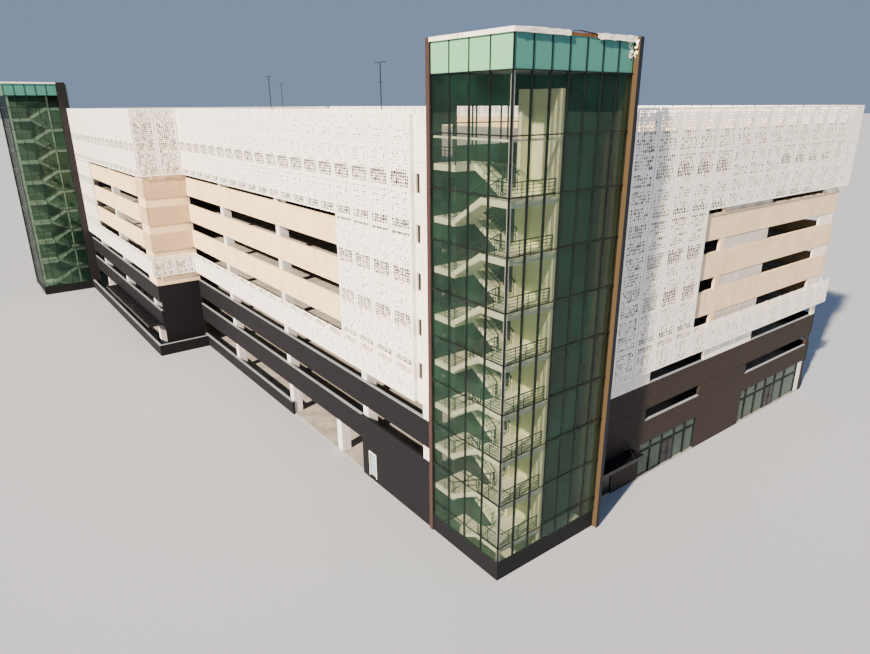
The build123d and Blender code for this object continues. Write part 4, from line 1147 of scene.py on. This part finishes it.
def coping_details(finishes):
    """The near tower's battered coping: an open joint, dark bars painted as the shadow under a
    lifted edge, and loose torn sheet.
    """
    for row in COPING_SHEETS:
        crumpled_sheet(*row, finishes["coping"])
    gaps = bars([COPING_JOINT, *LIFTED_EDGE_SHADOW], FINE_EDGE)
    settle(gaps, "coping_joint_and_painted_shadow", finishes["bar"])


RIB_COUNT = 16
RIB_SPAN = (-8088.0, -5688.0)
RIB_REACH = (-670.0, -504.0)
RIB_LEVEL = 369.0
RIB_WIDE = 6.0
RIB_HIGH = 8.0
NOSE_HIGH = 12.0
ROD_PLACES = (1100.0, 1307.0, 1514.0)
ROD_OUT = -64.0
ROD_FOOT = 336.0
ROD_HEAD = 470.0
ROD = 4.0
ROD_PLATE = 12.0


def canopy_details(finishes):
    """Ribs across the wing's canopy and the tie rods of the street canopy."""
    ribs = []
    left, right = RIB_SPAN
    out, back = RIB_REACH
    for i in range(RIB_COUNT + 1):
        x = left + RIB_WIDE + (right - left - 2 * RIB_WIDE) * i / RIB_COUNT
        ribs.append(((x, out, RIB_LEVEL), (x, back, RIB_LEVEL), RIB_WIDE, RIB_HIGH))
    nose = (left, out + 2, RIB_LEVEL + 2), (right, out + 2, RIB_LEVEL + 2)
    ribs.append((*nose, RIB_WIDE - 1, NOSE_HIGH))
    settle(bars(ribs), "wing_canopy_ribs", finishes["canopy"])
    rods = []
    for y in ROD_PLACES:
        rods.append(((ROD_OUT, y, ROD_FOOT), (STREET_FACE + 2, y, ROD_HEAD), ROD, ROD))
        plate = (STREET_FACE, y, ROD_HEAD - ROD_PLATE), (STREET_FACE, y, ROD_HEAD + ROD_PLATE)
        rods.append((*plate, ROD_PLATE, ROD + 1))
    settle(bars(rods), "street_canopy_rods", finishes["canopy"])


FRAME = 6.0
SERVICE_FRAME = (-1567.0, -1467.0, 32.0, 253.0)
LOBBY_FRAME = (1188.0, 1394.0, 0.0, 252.0)


def frame_runs(place_at, start, end, low, high):
    """Two uprights and a head round an opening; its place is given along the wall and up."""
    half = FRAME / 2
    lines = (
        ((start, low), (start, high)), ((end, low), (end, high)),
        ((start - half, high + half), (end + half, high + half)),
    )
    return [(place_at(*foot), place_at(*head), FRAME, FRAME) for foot, head in lines]


def opening_frames(finishes):
    """Light frames round the service door and dark frames round the lobby doors."""
    light = frame_runs(lambda along, up: (along, -1, up), *SERVICE_FRAME)
    settle(bars(light), "service_door_frame", finishes["post"])
    dark = frame_runs(lambda along, up: (STREET_FACE + 1, along, up), *LOBBY_FRAME)
    settle(bars(dark), "lobby_door_frame", finishes["bar"])


# Door leaves: millimetres from the leaf's own edges

LEAF_EDGE = 4.0
LEAF_END = 7.0
STILE = 7.0
STILE_THICK = 1.6
DOOR_RAIL = 8.0
DOOR_RAILS_UP = (5.0, 95.0)
PULL_IN = 9.0
PULL_OUT = 2.5
PULL_ENDS = (70.0, 130.0)
PULL_FEET = (74.0, 126.0)
PULL = 2.0
TRIM_OUT = 0.4
SERVICE_TRIM = 6.0
SERVICE_TRIM_THICK = 1.2
LATCH_UP = (92.0, 102.0)
LEVER_UP = 98.0


def leaf_corners(name):
    """Low and high corners of a door leaf in millimetres."""
    low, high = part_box(name)
    return (low - CORNER) / MM, (high - CORNER) / MM


def glazed_leaf_trim(finishes, name):
    """Stiles, rails and a pull handle on one glazed street door, on its own body."""
    low, high = leaf_corners(name)
    bottom, top = low.z + LEAF_END, high.z - LEAF_END
    x = high.x + TRIM_OUT
    y0, y1 = low.y + LEAF_EDGE, high.y - LEAF_EDGE
    runs = [((x, y, bottom), (x, y, top), STILE, STILE_THICK) for y in (y0, y1)]
    for z in [bottom + up for up in DOOR_RAILS_UP] + [top - DOOR_RAIL / 2]:
        runs.append(((x, y0, z), (x, y1, z), STILE_THICK, DOOR_RAIL))
    y = y1 - PULL_IN if name.endswith("left") else y0 + PULL_IN
    foot, head = [(x + PULL_OUT, y, bottom + up) for up in PULL_ENDS]
    runs.append((foot, head, PULL, PULL))
    for z in [bottom + up for up in PULL_FEET]:
        runs.append(((x, y, z), (x + 3, y, z), PULL, PULL))
    settle(bars(runs, FINE_EDGE), f"{name}_trim", finishes["bar"], body=name)


def service_leaf_trim(finishes, name):
    """A raised edge, a latch plate and a lever on the service door, on its own body."""
    low, high = leaf_corners(name)
    bottom, top = low.z + LEAF_END, high.z - LEAF_END
    y = low.y - TRIM_OUT
    x0, x1 = low.x + LEAF_EDGE, high.x - LEAF_EDGE
    size = SERVICE_TRIM_THICK, SERVICE_TRIM
    runs = [((x0, y, z), (x1, y, z), *size) for z in (bottom + LEAF_EDGE, top - LEAF_EDGE)]
    runs += [((x, y, bottom), (x, y, top), *size) for x in (x0, x1)]
    foot, head = [(x1 - 8, y - 2, bottom + up) for up in LATCH_UP]
    runs.append((foot, head, PULL, PULL))
    back, tip = [(x1 - along, y - PULL_OUT, bottom + LEVER_UP) for along in (16, 7)]
    runs.append((back, tip, PULL, PULL))
    settle(bars(runs, FINE_EDGE), f"{name}_trim", finishes["door"], body=name)


set_camera()
set_studio()
FINISHES = make_finishes()
dress_nodes(FINISHES)
screen_piece("perforated_screens_front", "screens_front", FINISHES["screen_with_painted_shade"])
screen_piece("perforated_screens_wing", "screens_wing", FINISHES["screen_with_painted_shade"])
screen_piece("perforated_screens_street", "screens_street", FINISHES["screen_with_painted_shade"])
screen_piece("perforated_screens_rear", "screens_rear", FINISHES["screen"], REAR_CELL)
screen_posts(FINISHES)
near_stair_details(FINISHES)
far_stair_details(FINISHES)
tower_mullions(FINISHES)
roof_storey_window(FINISHES)
spandrel_caps(FINISHES)
slot_windows(FINISHES)
coping_details(FINISHES)
canopy_details(FINISHES)
opening_frames(FINISHES)
service_leaf_trim(FINISHES, "service_door")
for doorway in ("lobby", "shop_1", "shop_2"):
    for hand in ("left", "right"):
        glazed_leaf_trim(FINISHES, f"{doorway}_door_{hand}")
